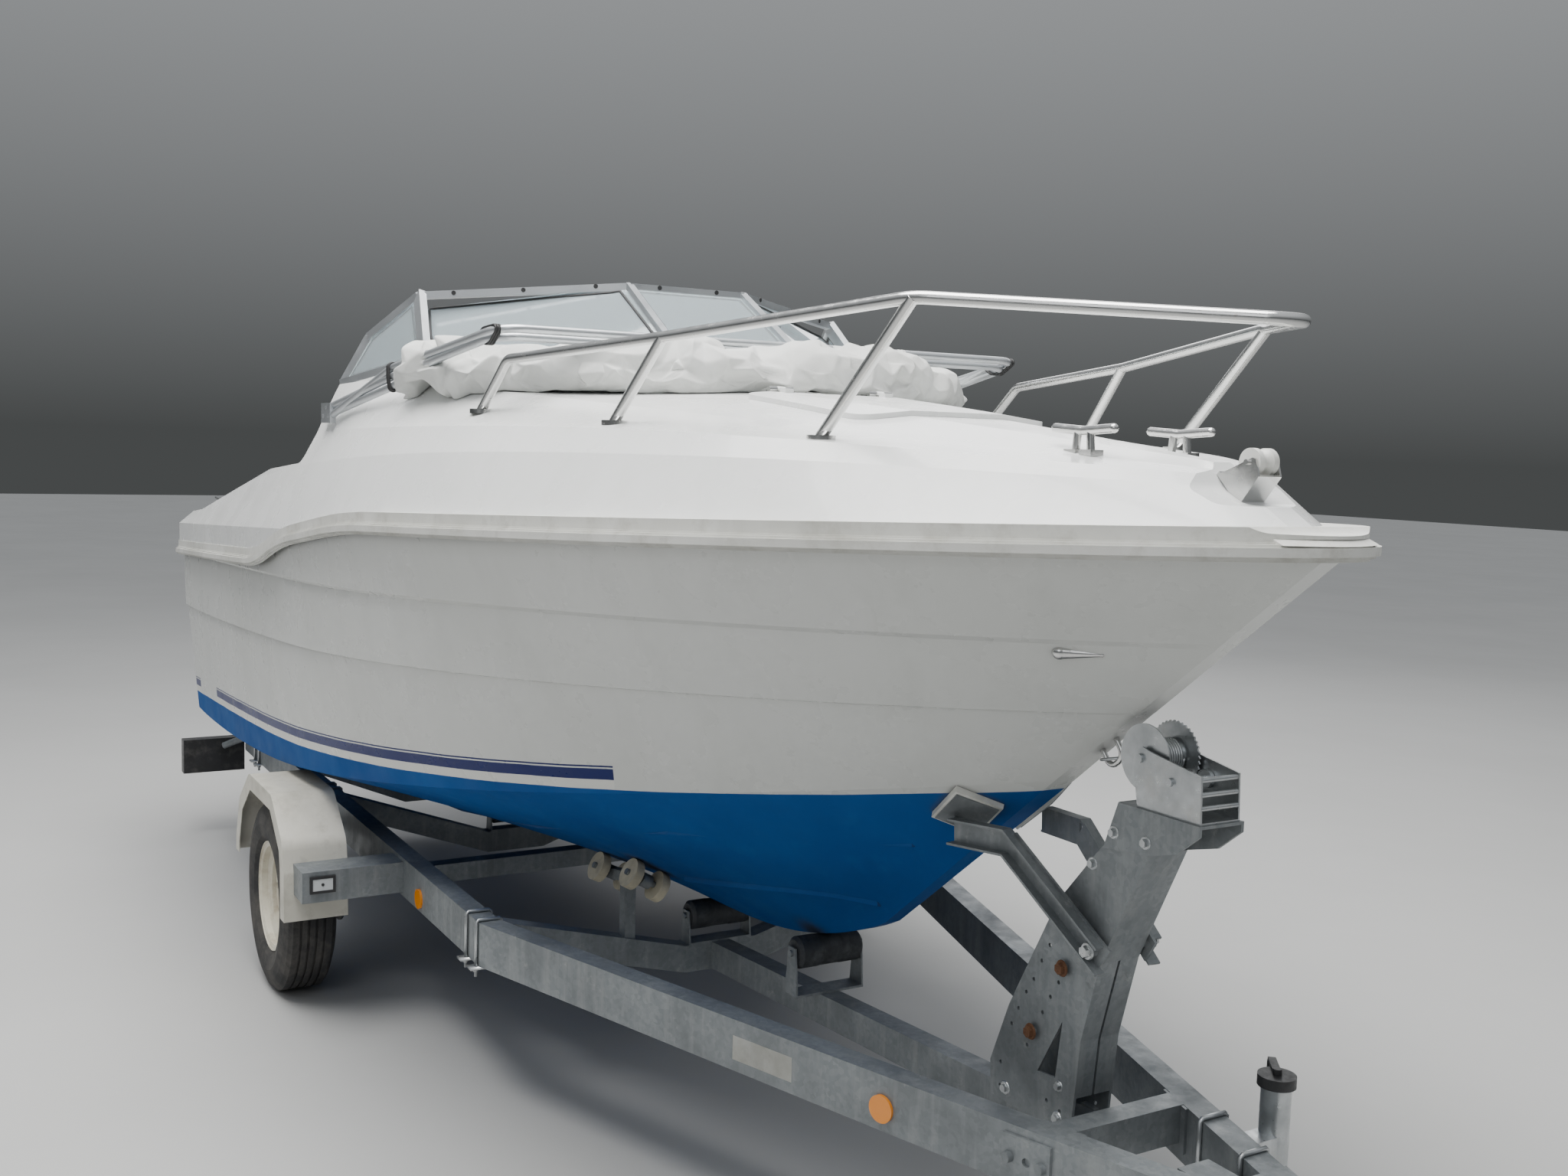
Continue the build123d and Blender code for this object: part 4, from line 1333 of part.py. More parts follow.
if __name__ == "__main__":
    os.makedirs("parts", exist_ok=True)
    print("MID_X", MID_X)
    for name, shape in nodes.items():
        print(name, shape.is_valid, round(shape.volume / 1e9, 4), len(shape.solids()), shape.bounding_box())
        export_step(Pos(-MID_X, 0, 0) * shape, f"parts/{name}.step")
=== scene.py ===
"""Speedboat on its trailer: looks, soft goods and small pieces round the CAD frame."""
import math

import bmesh
import bpy
from mathutils import Matrix, Vector, noise
from mathutils.bvhtree import BVHTree


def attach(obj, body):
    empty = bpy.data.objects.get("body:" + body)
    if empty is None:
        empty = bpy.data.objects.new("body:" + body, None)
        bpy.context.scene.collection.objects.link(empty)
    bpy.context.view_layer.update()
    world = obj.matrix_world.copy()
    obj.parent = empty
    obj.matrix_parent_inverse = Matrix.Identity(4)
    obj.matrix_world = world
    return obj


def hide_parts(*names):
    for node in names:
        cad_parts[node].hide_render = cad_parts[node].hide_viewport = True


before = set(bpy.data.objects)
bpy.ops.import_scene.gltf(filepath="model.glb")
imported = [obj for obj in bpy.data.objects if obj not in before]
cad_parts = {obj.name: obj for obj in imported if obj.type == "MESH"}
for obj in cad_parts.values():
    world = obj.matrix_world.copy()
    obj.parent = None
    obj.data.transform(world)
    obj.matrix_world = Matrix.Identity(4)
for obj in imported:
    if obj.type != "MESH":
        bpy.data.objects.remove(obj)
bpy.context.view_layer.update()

AXLE_X = 0.56098  # the road wheels' axle lies this far aft of the frame's origin
ROOT = "boat_and_trailer"


def at(x, y, z):
    """Place measured forward from the road wheels' axle."""
    return Vector((x - AXLE_X, y, z))


# Camera, in the place and direction that the photograph was taken from
CAMERA_AT = at(5.05796, -2.09843, 1.81892)
HEADING, PITCH, ROLL = 1.04214910, 0.0926142633, -0.0289794
FOCAL_PIXELS, PHOTO_WIDE, SENSOR = 1999.97, 2048, 36.0
look = Vector((-math.sin(HEADING) * math.cos(PITCH), math.cos(HEADING) * math.cos(PITCH), -math.sin(PITCH)))
level = Vector((math.cos(HEADING), math.sin(HEADING), 0))
down = look.cross(level)
right = math.cos(ROLL) * level + math.sin(ROLL) * down
up = math.sin(ROLL) * level - math.cos(ROLL) * down
camera = bpy.data.objects.new("camera", bpy.data.cameras.new("camera"))
bpy.context.scene.collection.objects.link(camera)
camera.matrix_world = Matrix((right, up, -look)).transposed().to_4x4()
camera.location = CAMERA_AT
camera.data.lens = SENSOR * FOCAL_PIXELS / PHOTO_WIDE
camera.data.sensor_width = SENSOR
camera.data.clip_start, camera.data.clip_end = 0.05, 200
bpy.context.scene.camera = camera


# Studio: pale floor, pale sky and large soft lights
def lamp(name, place, aim, size, power, colour=(1, 1, 1)):
    light = bpy.data.lights.new(name, "AREA")
    light.shape, light.size, light.energy, light.color = "DISK", size, power, colour
    thing = bpy.data.objects.new(name, light)
    bpy.context.scene.collection.objects.link(thing)
    thing.location = place
    thing.rotation_euler = (Vector(aim) - Vector(place)).to_track_quat("-Z", "Y").to_euler()


lamp("overhead", (0.8, -1.2, 7.5), (0.4, -0.1, 1), 6.5, 1200, (1.0, 0.99, 0.97))
lamp("front", (6.5, -6.0, 5.5), (0.8, 0, 1), 5.0, 75, (0.96, 0.98, 1.0))
lamp("behind", (-5.0, 6.0, 5.5), (0.0, 0, 1.2), 5.0, 160)
SKY_LOW, SKY_HIGH, SKY_HIGH_AT, SKY_STRENGTH = (0.085, 0.09, 0.09, 1), (0.90, 0.93, 0.96, 1), 0.75, 0.80
FLOOR_HALF = 40
world = bpy.data.worlds.new("studio")
bpy.context.scene.world = world
world.use_nodes = True
sky = world.node_tree
sky_height = sky.nodes.new("ShaderNodeSeparateXYZ")
sky.links.new(sky.nodes.new("ShaderNodeTexCoord").outputs["Generated"], sky_height.inputs[0])
sky_tone = sky.nodes.new("ShaderNodeValToRGB")
sky.links.new(sky_height.outputs[2], sky_tone.inputs["Fac"])
sky_tone.color_ramp.elements[0].color = SKY_LOW
sky_tone.color_ramp.elements[1].position = SKY_HIGH_AT
sky_tone.color_ramp.elements[1].color = SKY_HIGH
sky.links.new(sky_tone.outputs["Color"], sky.nodes["Background"].inputs["Color"])
sky.nodes["Background"].inputs["Strength"].default_value = SKY_STRENGTH
floor_mesh = bpy.data.meshes.new("floor")
floor_corners = [(x * FLOOR_HALF, y * FLOOR_HALF, 0) for x, y in ((-1, -1), (1, -1), (1, 1), (-1, 1))]
floor_mesh.from_pydata(floor_corners, [], [(0, 1, 2, 3)])
floor = bpy.data.objects.new("floor", floor_mesh)
bpy.context.scene.collection.objects.link(floor)


# Node helpers for the materials
def put(tree, kind, ins=None, **attributes):
    made = tree.nodes.new(kind)
    for key, value in attributes.items():
        setattr(made, key, value)
    for key, value in (ins or {}).items():
        if isinstance(value, bpy.types.NodeSocket):
            tree.links.new(value, made.inputs[key])
        else:
            made.inputs[key].default_value = value
    return made


def coords(tree, stretch=(1, 1, 1)):
    place = put(tree, "ShaderNodeTexCoord").outputs["Object"]
    return put(tree, "ShaderNodeMapping", {"Vector": place, "Scale": stretch}).outputs[0]


def grain(tree, scale, detail=4.0, rough=0.55, stretch=(1, 1, 1)):
    """Noise from 0 to 1 in real size: scale is about the number of blots per metre."""
    ins = {"Vector": coords(tree, stretch), "Scale": scale, "Detail": detail, "Roughness": rough}
    return put(tree, "ShaderNodeTexNoise", ins).outputs[0]


def opaque(colour):
    """Four channels from three, or from one grey value."""
    return (*colour, 1) if hasattr(colour, "__len__") else (colour, colour, colour, 1)


def ramp(tree, fac, *stops):
    made = put(tree, "ShaderNodeValToRGB", {"Fac": fac})
    points = made.color_ramp.elements
    while len(points) < len(stops):
        points.new(0.5)
    for point, (where, colour) in zip(points, stops):
        point.position = where
        point.color = opaque(colour)
    return made.outputs["Color"]


def mix(tree, fac, a, b):
    made = put(tree, "ShaderNodeMix", data_type="RGBA")
    for slot, value in ((0, fac), (6, a), (7, b)):
        if isinstance(value, bpy.types.NodeSocket):
            tree.links.new(value, made.inputs[slot])
        elif slot == 0:
            made.inputs[slot].default_value = value
        else:
            made.inputs[slot].default_value = opaque(value)
    return made.outputs[2]


def calc(tree, how, a, b=0.0, c=0.0):
    made = put(tree, "ShaderNodeMath", operation=how)
    for slot, value in enumerate((a, b, c)):
        if isinstance(value, bpy.types.NodeSocket):
            tree.links.new(value, made.inputs[slot])
        else:
            made.inputs[slot].default_value = value
    return made.outputs[0]


def ribs(tree, scale, direction):
    """Even ribs that follow one another in a direction."""
    ins = {"Vector": coords(tree), "Scale": scale}
    return put(tree, "ShaderNodeTexWave", ins, bands_direction=direction).outputs[1]


def relief(tree, height, strength, distance=0.001):
    ins = {"Height": height, "Strength": strength, "Distance": distance}
    return put(tree, "ShaderNodeBump", ins).outputs[0]


def material(name, base=None, rough=0.5, metal=0.0, build=None, **sockets):
    """Material whose look is made by build(tree, shader), or a plain one."""
    made = bpy.data.materials.new(name)
    made.use_nodes = True
    tree = made.node_tree
    shader = tree.nodes["Principled BSDF"]
    shader.inputs["Metallic"].default_value = metal
    shader.inputs["Roughness"].default_value = rough
    if base is not None:
        shader.inputs["Base Color"].default_value = (*base, 1)
    for key, value in sockets.items():
        shader.inputs[key.replace("_", " ")].default_value = value
    if build:
        build(tree, shader)
    return made


def worn(
    name, light, dark, rough=(0.35, 0.6), metal=0.0, blots=3.0, streak=0.25, fine=160.0, bump=0.08,
    dust=None, dust_share=0.25, **sockets,
):
    """Weathered finish: two tones in blots, streaks running down, fine relief and dust."""

    def build(tree, shader):
        tone = mix(tree, ramp(tree, grain(tree, blots, 6), (0.35, 0.0), (0.68, 1.0)), light, dark)
        run = ramp(tree, grain(tree, 9.0, 5, 0.6, (1.0, 1.0, 0.12)), (0.48, 0.0), (0.72, streak))
        tone = mix(tree, run, tone, tuple(v * 0.72 for v in dark))
        if dust:
            cover = ramp(tree, grain(tree, 14.0, 8, 0.68), (0.5, 0.0), (0.7, dust_share))
            tone = mix(tree, cover, tone, dust)
        tree.links.new(tone, shader.inputs["Base Color"])
        shine = ramp(tree, grain(tree, blots * 4, 5), (0.3, rough[0]), (0.7, rough[1]))
        tree.links.new(shine, shader.inputs["Roughness"])
        tree.links.new(relief(tree, grain(tree, fine, 4), bump), shader.inputs["Normal"])

    return material(name, metal=metal, build=build, **sockets)


# Paint of the hull: antifouling below, two-tone stripe aft, gelcoat above, and painted shade darkening its
# creases and lap lines.
# The antifouling's edge rises along the boat by a curve whose factors are given from the lowest power up.
PAINT_CURVE = (0.8061, 0.07187, 0.01041, 0.00286)
EDGE_WAVE = 0.004
STRIPE_END_X, STRIPE_START_X, STRIPE_GAP_X, STRIPE_AFT_X = 1.68, -1.36, -1.78, -2.2
STRIPE_SLANT = -0.6
NAVY_LOW, NAVY_HIGH, LINE_LOW, LINE_HIGH = 0.026, 0.055, 0.059, 0.0635
CREVICE_SHADE_REACH = 0.06
GLOSSY_LEVEL, DULL_LEVEL_DROP = 0.5, -0.36


def hull_paint(tree, shader):
    place = put(tree, "ShaderNodeTexCoord").outputs["Object"]
    x, _, z = put(tree, "ShaderNodeSeparateXYZ", {"Vector": place}).outputs
    x = calc(tree, "ADD", x, AXLE_X)
    curve = PAINT_CURVE[3]
    for factor in reversed(PAINT_CURVE[:3]):
        curve = calc(tree, "MULTIPLY_ADD", x, curve, factor)
    over = calc(tree, "SUBTRACT", z, curve)
    over = calc(tree, "MULTIPLY_ADD", grain(tree, 5.0, 3), EDGE_WAVE, over)
    over = calc(tree, "SUBTRACT", over, EDGE_WAVE / 2)

    def band(low, high):
        inside = calc(tree, "GREATER_THAN", over, low)
        return calc(tree, "MULTIPLY", inside, calc(tree, "LESS_THAN", over, high))

    end = calc(tree, "LESS_THAN", calc(tree, "MULTIPLY_ADD", over, STRIPE_SLANT, x), STRIPE_END_X)
    start = calc(tree, "GREATER_THAN", x, STRIPE_START_X)
    behind_gap = calc(tree, "LESS_THAN", x, STRIPE_GAP_X)
    corner = calc(tree, "MULTIPLY", behind_gap, calc(tree, "GREATER_THAN", x, STRIPE_AFT_X))
    main = calc(tree, "MULTIPLY", end, calc(tree, "MAXIMUM", start, corner))
    cloud = ramp(tree, grain(tree, 1.6, 3), (0.30, 0.0), (0.75, 1.0))
    pale = mix(tree, cloud, (0.62, 0.63, 0.61), (0.575, 0.585, 0.56))
    run = ramp(tree, grain(tree, 7.0, 6, 0.62, (1, 1, 0.10)), (0.5, 0.0), (0.75, 0.20))
    pale = mix(tree, run, pale, (0.42, 0.43, 0.40))
    scuff = ramp(tree, grain(tree, 38.0, 8, 0.7), (0.66, 0.0), (0.76, 0.07))
    pale = mix(tree, scuff, pale, (0.72, 0.72, 0.70))
    navy = calc(tree, "MULTIPLY", band(NAVY_LOW, NAVY_HIGH), main)
    line = calc(tree, "MULTIPLY", band(LINE_LOW, LINE_HIGH), main)
    chips = ramp(tree, grain(tree, 60.0, 6, 0.7), (0.70, 1.0), (0.74, 0.0))
    stripe = calc(tree, "MULTIPLY", calc(tree, "MAXIMUM", navy, line), chips)
    tone = mix(tree, stripe, pale, (0.002, 0.010, 0.105))
    bare = calc(tree, "MULTIPLY", calc(tree, "LESS_THAN", over, NAVY_LOW), main)
    tone = mix(tree, bare, tone, (0.66, 0.66, 0.62))
    faded = ramp(tree, grain(tree, 2.2, 8), (0.3, 0.0), (0.7, 1.0))
    blue = mix(tree, faded, (0.001, 0.085, 0.30), (0.001, 0.060, 0.235))
    rubbed = ramp(tree, grain(tree, 11.0, 8, 0.66, (1, 1, 0.3)), (0.56, 0.0), (0.72, 0.28))
    blue = mix(tree, rubbed, blue, (0.008, 0.13, 0.36))
    below = calc(tree, "LESS_THAN", over, 0.0)
    tone = mix(tree, below, tone, blue)
    # Painted shade: near-black is mixed in where ambient occlusion finds little open space, darkening creases
    # and the hull's lap lines.
    open_share = put(tree, "ShaderNodeAmbientOcclusion", {"Distance": CREVICE_SHADE_REACH}, samples=8).outputs["AO"]
    tone = mix(tree, ramp(tree, open_share, (0.45, 0.8), (0.93, 0.0)), tone, 0.06)
    tree.links.new(tone, shader.inputs["Base Color"])
    gloss = ramp(tree, grain(tree, 6.0, 6), (0.3, 0.22), (0.7, 0.36))
    matt = ramp(tree, grain(tree, 9.0, 6), (0.3, 0.55), (0.7, 0.72))
    tree.links.new(mix(tree, below, gloss, matt), shader.inputs["Roughness"])
    level = calc(tree, "MULTIPLY_ADD", calc(tree, "MAXIMUM", below, stripe), DULL_LEVEL_DROP, GLOSSY_LEVEL)
    tree.links.new(level, shader.inputs["Specular IOR Level"])
    texture = calc(tree, "MULTIPLY", grain(tree, 220.0, 3), calc(tree, "MULTIPLY_ADD", below, 0.9, 0.1))
    tree.links.new(relief(tree, texture, 0.14, 0.0005), shader.inputs["Normal"])


def galvanise(tree, shader):
    """Hot-dip zinc: crystal spangle, dull streaks and pale bloom."""
    spangle = put(tree, "ShaderNodeTexVoronoi", {"Vector": coords(tree), "Scale": 90.0}).outputs["Color"]
    cells = put(tree, "ShaderNodeSeparateColor", {"Color": spangle}).outputs[0]
    tone = mix(tree, cells, (0.225, 0.245, 0.255), (0.285, 0.305, 0.315))
    cloud = ramp(tree, grain(tree, 4.5, 8, 0.62), (0.36, 0.0), (0.66, 0.75))
    tone = mix(tree, cloud, tone, (0.155, 0.168, 0.175))
    run = ramp(tree, grain(tree, 26.0, 6, 0.6, (1, 1, 0.10)), (0.5, 0.0), (0.7, 0.42))
    tone = mix(tree, run, tone, (0.37, 0.385, 0.385))
    bloom = ramp(tree, grain(tree, 17.0, 10, 0.72), (0.60, 0.0), (0.72, 0.5))
    tone = mix(tree, bloom, tone, (0.47, 0.48, 0.465))
    soil = ramp(tree, grain(tree, 7.0, 8, 0.7), (0.62, 0.0), (0.78, 0.45))
    tone = mix(tree, soil, tone, (0.12, 0.105, 0.085))
    tree.links.new(tone, shader.inputs["Base Color"])
    tree.links.new(ramp(tree, grain(tree, 12.0, 6), (0.3, 0.42), (0.7, 0.66)), shader.inputs["Roughness"])
    tree.links.new(relief(tree, grain(tree, 60.0, 6), 0.22, 0.0012), shader.inputs["Normal"])


def canvas_look(tree, shader):
    """Coated canvas: fine weave, soft dirt in patches."""
    soiled = ramp(tree, grain(tree, 5.0, 7, 0.6), (0.42, 0.0), (0.75, 1.0))
    tone = mix(tree, soiled, (0.72, 0.73, 0.71), (0.58, 0.585, 0.56))
    spots = ramp(tree, grain(tree, 46.0, 8, 0.7), (0.62, 0.0), (0.7, 0.22))
    tone = mix(tree, spots, tone, (0.50, 0.49, 0.44))
    tree.links.new(tone, shader.inputs["Base Color"])
    weave = calc(tree, "ADD", ribs(tree, 240.0, "X"), ribs(tree, 240.0, "Y"))
    crease = calc(tree, "MULTIPLY_ADD", grain(tree, 22.0, 8, 0.6), 6.0, weave)
    tree.links.new(relief(tree, crease, 0.32, 0.0012), shader.inputs["Normal"])


def vinyl_look(tree, shader):
    """Leather-grained vinyl cover."""
    cloud = ramp(tree, grain(tree, 3.0, 6), (0.35, 0.0), (0.7, 1.0))
    tone = mix(tree, cloud, (0.74, 0.725, 0.67), (0.66, 0.645, 0.59))
    tree.links.new(tone, shader.inputs["Base Color"])
    ins = {"Vector": coords(tree), "Scale": 420.0}
    pores = put(tree, "ShaderNodeTexVoronoi", ins, feature="DISTANCE_TO_EDGE").outputs["Distance"]
    height = calc(tree, "MULTIPLY_ADD", grain(tree, 30.0, 6), 0.3, pores)
    tree.links.new(relief(tree, height, 0.35, 0.0008), shader.inputs["Normal"])


def cloth_look(tree, shader):
    """Woven berth cover."""
    cloud = ramp(tree, grain(tree, 6.0, 6), (0.35, 0.0), (0.7, 1.0))
    tone = mix(tree, cloud, (0.045, 0.085, 0.17), (0.03, 0.06, 0.13))
    tree.links.new(tone, shader.inputs["Base Color"])
    weave = calc(tree, "ADD", ribs(tree, 130.0, "X"), ribs(tree, 130.0, "Y"))
    tree.links.new(relief(tree, weave, 0.4, 0.001), shader.inputs["Normal"])


def steel_look(tree, shader):
    """Polished stainless steel with fine rubbing marks and a few tea stains."""
    stain = ramp(tree, grain(tree, 18.0, 8, 0.7), (0.64, 0.0), (0.74, 0.5))
    tree.links.new(mix(tree, stain, (0.62, 0.62, 0.61), (0.36, 0.30, 0.22)), shader.inputs["Base Color"])
    tree.links.new(ramp(tree, grain(tree, 40.0, 6), (0.3, 0.12), (0.7, 0.30)), shader.inputs["Roughness"])
    tree.links.new(relief(tree, grain(tree, 300.0, 3), 0.05, 0.0004), shader.inputs["Normal"])


def rubber_look(tree, shader):
    """Black rubber with dust on it."""
    dusty = ramp(tree, grain(tree, 10.0, 8, 0.7), (0.42, 0.0), (0.72, 0.6))
    tree.links.new(mix(tree, dusty, (0.022, 0.022, 0.023), (0.13, 0.12, 0.105)), shader.inputs["Base Color"])
    tree.links.new(relief(tree, grain(tree, 240.0, 5), 0.3, 0.0012), shader.inputs["Normal"])


FRONT_LENS_X = -1.0


def lens_look(tree, shader):
    """Red behind, clear in front, with fine ribs."""
    place = put(tree, "ShaderNodeTexCoord").outputs["Object"]
    x = put(tree, "ShaderNodeSeparateXYZ", {"Vector": place}).outputs[0]
    clear = calc(tree, "GREATER_THAN", x, FRONT_LENS_X)
    tree.links.new(mix(tree, clear, (0.42, 0.012, 0.012), (0.60, 0.62, 0.62)), shader.inputs["Base Color"])
    tree.links.new(relief(tree, ribs(tree, 60.0, "Z"), 0.3, 0.0006), shader.inputs["Normal"])


WHITE, DIRT = (0.80, 0.81, 0.80), (0.30, 0.28, 0.23)
looks = {
    "hull_paint": material("hull_paint", build=hull_paint),
    "gelcoat": worn(
        "gelcoat", WHITE, (0.74, 0.75, 0.745), (0.20, 0.34), blots=1.4, streak=0.10, fine=90, bump=0.02,
        dust=(0.62, 0.61, 0.56), dust_share=0.14, Coat_Weight=0.2,
    ),
    "liner": worn(
        "liner", (0.72, 0.72, 0.69), (0.62, 0.62, 0.58), (0.35, 0.5), blots=2.0, streak=0.2, fine=180,
        bump=0.08, dust=DIRT, dust_share=0.2,
    ),
    "anodised": worn(
        "anodised", (0.62, 0.64, 0.66), (0.52, 0.54, 0.56), (0.28, 0.42), metal=0.85, blots=6, streak=0.2,
        fine=420, bump=0.05,
    ),
    "glass": material("glass", (0.78, 0.88, 0.92), rough=0.03, Transmission_Weight=0.80, IOR=1.35),
    "rail_vinyl": worn(
        "rail_vinyl", (0.70, 0.70, 0.67), (0.58, 0.58, 0.54), (0.40, 0.58), blots=4, streak=0.3, fine=200,
        bump=0.10, dust=DIRT, dust_share=0.4,
    ),
    "stainless": material("stainless", metal=1.0, build=steel_look),
    "white_plastic": worn(
        "white_plastic", (0.76, 0.76, 0.73), (0.66, 0.66, 0.62), (0.35, 0.5), blots=20, streak=0.2,
        fine=260, bump=0.08,
    ),
    "black_plastic": worn(
        "black_plastic", (0.035, 0.035, 0.036), (0.022, 0.022, 0.023), (0.4, 0.6), blots=20, fine=500,
        bump=0.15,
    ),
    "canvas": material("canvas", rough=0.62, build=canvas_look, Sheen_Weight=0.15, Sheen_Roughness=0.5),
    "vinyl": material("vinyl", rough=0.46, build=vinyl_look),
    "berth_cloth": material("berth_cloth", rough=0.85, build=cloth_look, Sheen_Weight=0.3),
    "door_panel": worn(
        "door_panel", (0.03, 0.03, 0.034), (0.02, 0.02, 0.022), (0.12, 0.22), blots=4, fine=40, bump=0.02,
    ),
    "engine_paint": worn(
        "engine_paint", (0.045, 0.05, 0.055), (0.03, 0.033, 0.036), (0.4, 0.6), blots=12, fine=200,
        bump=0.15, dust=DIRT, dust_share=0.3,
    ),
    "drive_paint": worn(
        "drive_paint", (0.055, 0.06, 0.064), (0.035, 0.038, 0.04), (0.35, 0.55), blots=8, fine=220,
        bump=0.12, dust=(0.22, 0.21, 0.18), dust_share=0.35,
    ),
    "prop_metal": worn(
        "prop_metal", (0.26, 0.26, 0.26), (0.17, 0.17, 0.17), (0.35, 0.5), metal=0.8, blots=16, fine=260,
        bump=0.1,
    ),
    "galvanised": material("galvanised", metal=0.55, build=galvanise),
    "zinc": worn(
        "zinc", (0.56, 0.58, 0.59), (0.42, 0.44, 0.45), (0.26, 0.42), metal=0.9, blots=18, streak=0.3,
        fine=320, bump=0.12, dust=(0.40, 0.38, 0.33), dust_share=0.3,
    ),
    "tyre": material("tyre", rough=0.82, build=rubber_look),
    "rim": worn(
        "rim", (0.68, 0.65, 0.55), (0.58, 0.55, 0.45), (0.4, 0.55), blots=9, streak=0.35, fine=180,
        bump=0.12, dust=(0.28, 0.19, 0.11), dust_share=0.5,
    ),
    "hub": worn(
        "hub", (0.13, 0.125, 0.12), (0.09, 0.085, 0.08), (0.55, 0.7), metal=0.5, blots=20, fine=200,
        bump=0.3, dust=(0.24, 0.15, 0.08), dust_share=0.5,
    ),
    "guard": worn(
        "guard", (0.62, 0.60, 0.53), (0.52, 0.50, 0.43), (0.45, 0.6), blots=4, streak=0.35, fine=150,
        bump=0.15, dust=DIRT, dust_share=0.45,
    ),
    "roller_black": worn(
        "roller_black", (0.035, 0.038, 0.042), (0.022, 0.024, 0.027), (0.5, 0.7), blots=20, fine=240,
        bump=0.2, dust=(0.16, 0.17, 0.17), dust_share=0.4,
    ),
    "roller_cream": worn(
        "roller_cream", (0.66, 0.60, 0.45), (0.52, 0.47, 0.34), (0.45, 0.6), blots=14, fine=200,
        bump=0.15, dust=DIRT, dust_share=0.4,
    ),
    "pad": worn(
        "pad", (0.70, 0.70, 0.66), (0.58, 0.58, 0.53), (0.5, 0.7), blots=16, fine=160, bump=0.25,
        dust=DIRT, dust_share=0.4,
    ),
    "lamp_case": worn(
        "lamp_case", (0.03, 0.03, 0.032), (0.02, 0.02, 0.02), (0.35, 0.5), blots=10, fine=300, bump=0.1,
        dust=(0.2, 0.19, 0.17), dust_share=0.3,
    ),
    "lamp_lens": material("lamp_lens", rough=0.12, build=lens_look, Coat_Weight=0.6),
    "amber": material("amber", (0.80, 0.26, 0.012), rough=0.14, Coat_Weight=0.6),
    "gasket": material("gasket", (0.02, 0.02, 0.021), rough=0.6),
    "rusty": worn(
        "rusty", (0.20, 0.095, 0.045), (0.12, 0.055, 0.03), (0.7, 0.9), metal=0.2, blots=60, fine=500,
        bump=0.4,
    ),
    "label": worn(
        "label", (0.74, 0.74, 0.71), (0.62, 0.62, 0.57), (0.5, 0.7), blots=18, streak=0.35, fine=300,
        bump=0.05, dust=DIRT, dust_share=0.35,
    ),
    "floor": worn(
        "floor", (0.42, 0.42, 0.415), (0.395, 0.395, 0.39), (0.7, 0.8), blots=0.6, streak=0.0, fine=40,
        bump=0.02,
    ),
}
floor.data.materials.append(looks["floor"])

finishes = {
    "hull_paint": ["hull"],
    "gelcoat": ["deck", "foredeck_hatch"],
    "liner": ["cabin_bulkhead", "helm_console", "seat_bases", "berth_base", "engine_box", "engine_lid"],
    "anodised": ["windshield_frame", "canopy_bows"],
    "glass": ["windshield_glass"],
    "rail_vinyl": ["rub_rail"],
    "stainless": ["bow_rail", "cleats", "bow_fittings", "fixed_hinges", "vent_covers"],
    "white_plastic": ["anchor_roller"],
    "black_plastic": ["jockey_crank", "steering_wheel"],
    "canvas": ["canvas_bundle"],
    "vinyl": ["seat_cushions", "sun_pad"],
    "berth_cloth": ["berth_cushions"],
    "door_panel": ["cabin_door"],
    "engine_paint": ["engine_block"],
    "drive_paint": ["transom_plate", "drive_swivel", "drive_leg"],
    "prop_metal": ["propeller"],
    "galvanised": [
        "side_rails", "cross_members", "drawbar", "axle", "outrigger_arms", "roller_brackets", "winch_post",
        "bow_stops",
    ],
    "zinc": ["coupling", "winch_frame", "winch_drum", "jockey_tube", "jockey_leg", "jockey_fork"],
    "tyre": ["tyre_left", "tyre_right"],
    "rim": ["rim_left", "rim_right"],
    "hub": ["hub_left", "hub_right"],
    "guard": ["mudguards"],
    "roller_black": ["keel_rollers", "jockey_wheel"],
    "roller_cream": ["hull_rollers"],
    "pad": ["stop_pads"],
    "lamp_case": ["lamp_units"],
    "lamp_lens": ["lamp_lenses"],
    "amber": ["side_reflectors"],
}
for look_name, names in finishes.items():
    for name in names:
        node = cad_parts[name]
        node.data.materials.clear()
        node.data.materials.append(looks[look_name])


# Helpers for the pieces of this scene
def node_mesh(*names):
    """Copy of CAD nodes' surfaces as one bmesh."""
    whole = bmesh.new()
    for name in names:
        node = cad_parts[name]
        part = node.data.copy()
        part.transform(node.matrix_world)
        whole.from_mesh(part)
        bpy.data.meshes.remove(part)
    bmesh.ops.remove_doubles(whole, verts=whole.verts, dist=1e-6)
    return whole


def node_tree(*names):
    whole = node_mesh(*names)
    found = BVHTree.FromBMesh(whole)
    whole.free()
    return found


def islands(whole):
    """Lists of the vertices of each separate shell."""
    seen, groups = set(), []
    for first in whole.verts:
        if first.index in seen:
            continue
        seen.add(first.index)
        group, edge = [first], [first]
        while edge:
            for link in edge.pop().link_edges:
                for v in link.verts:
                    if v.index not in seen:
                        seen.add(v.index)
                        group.append(v)
                        edge.append(v)
        groups.append(group)
    return groups


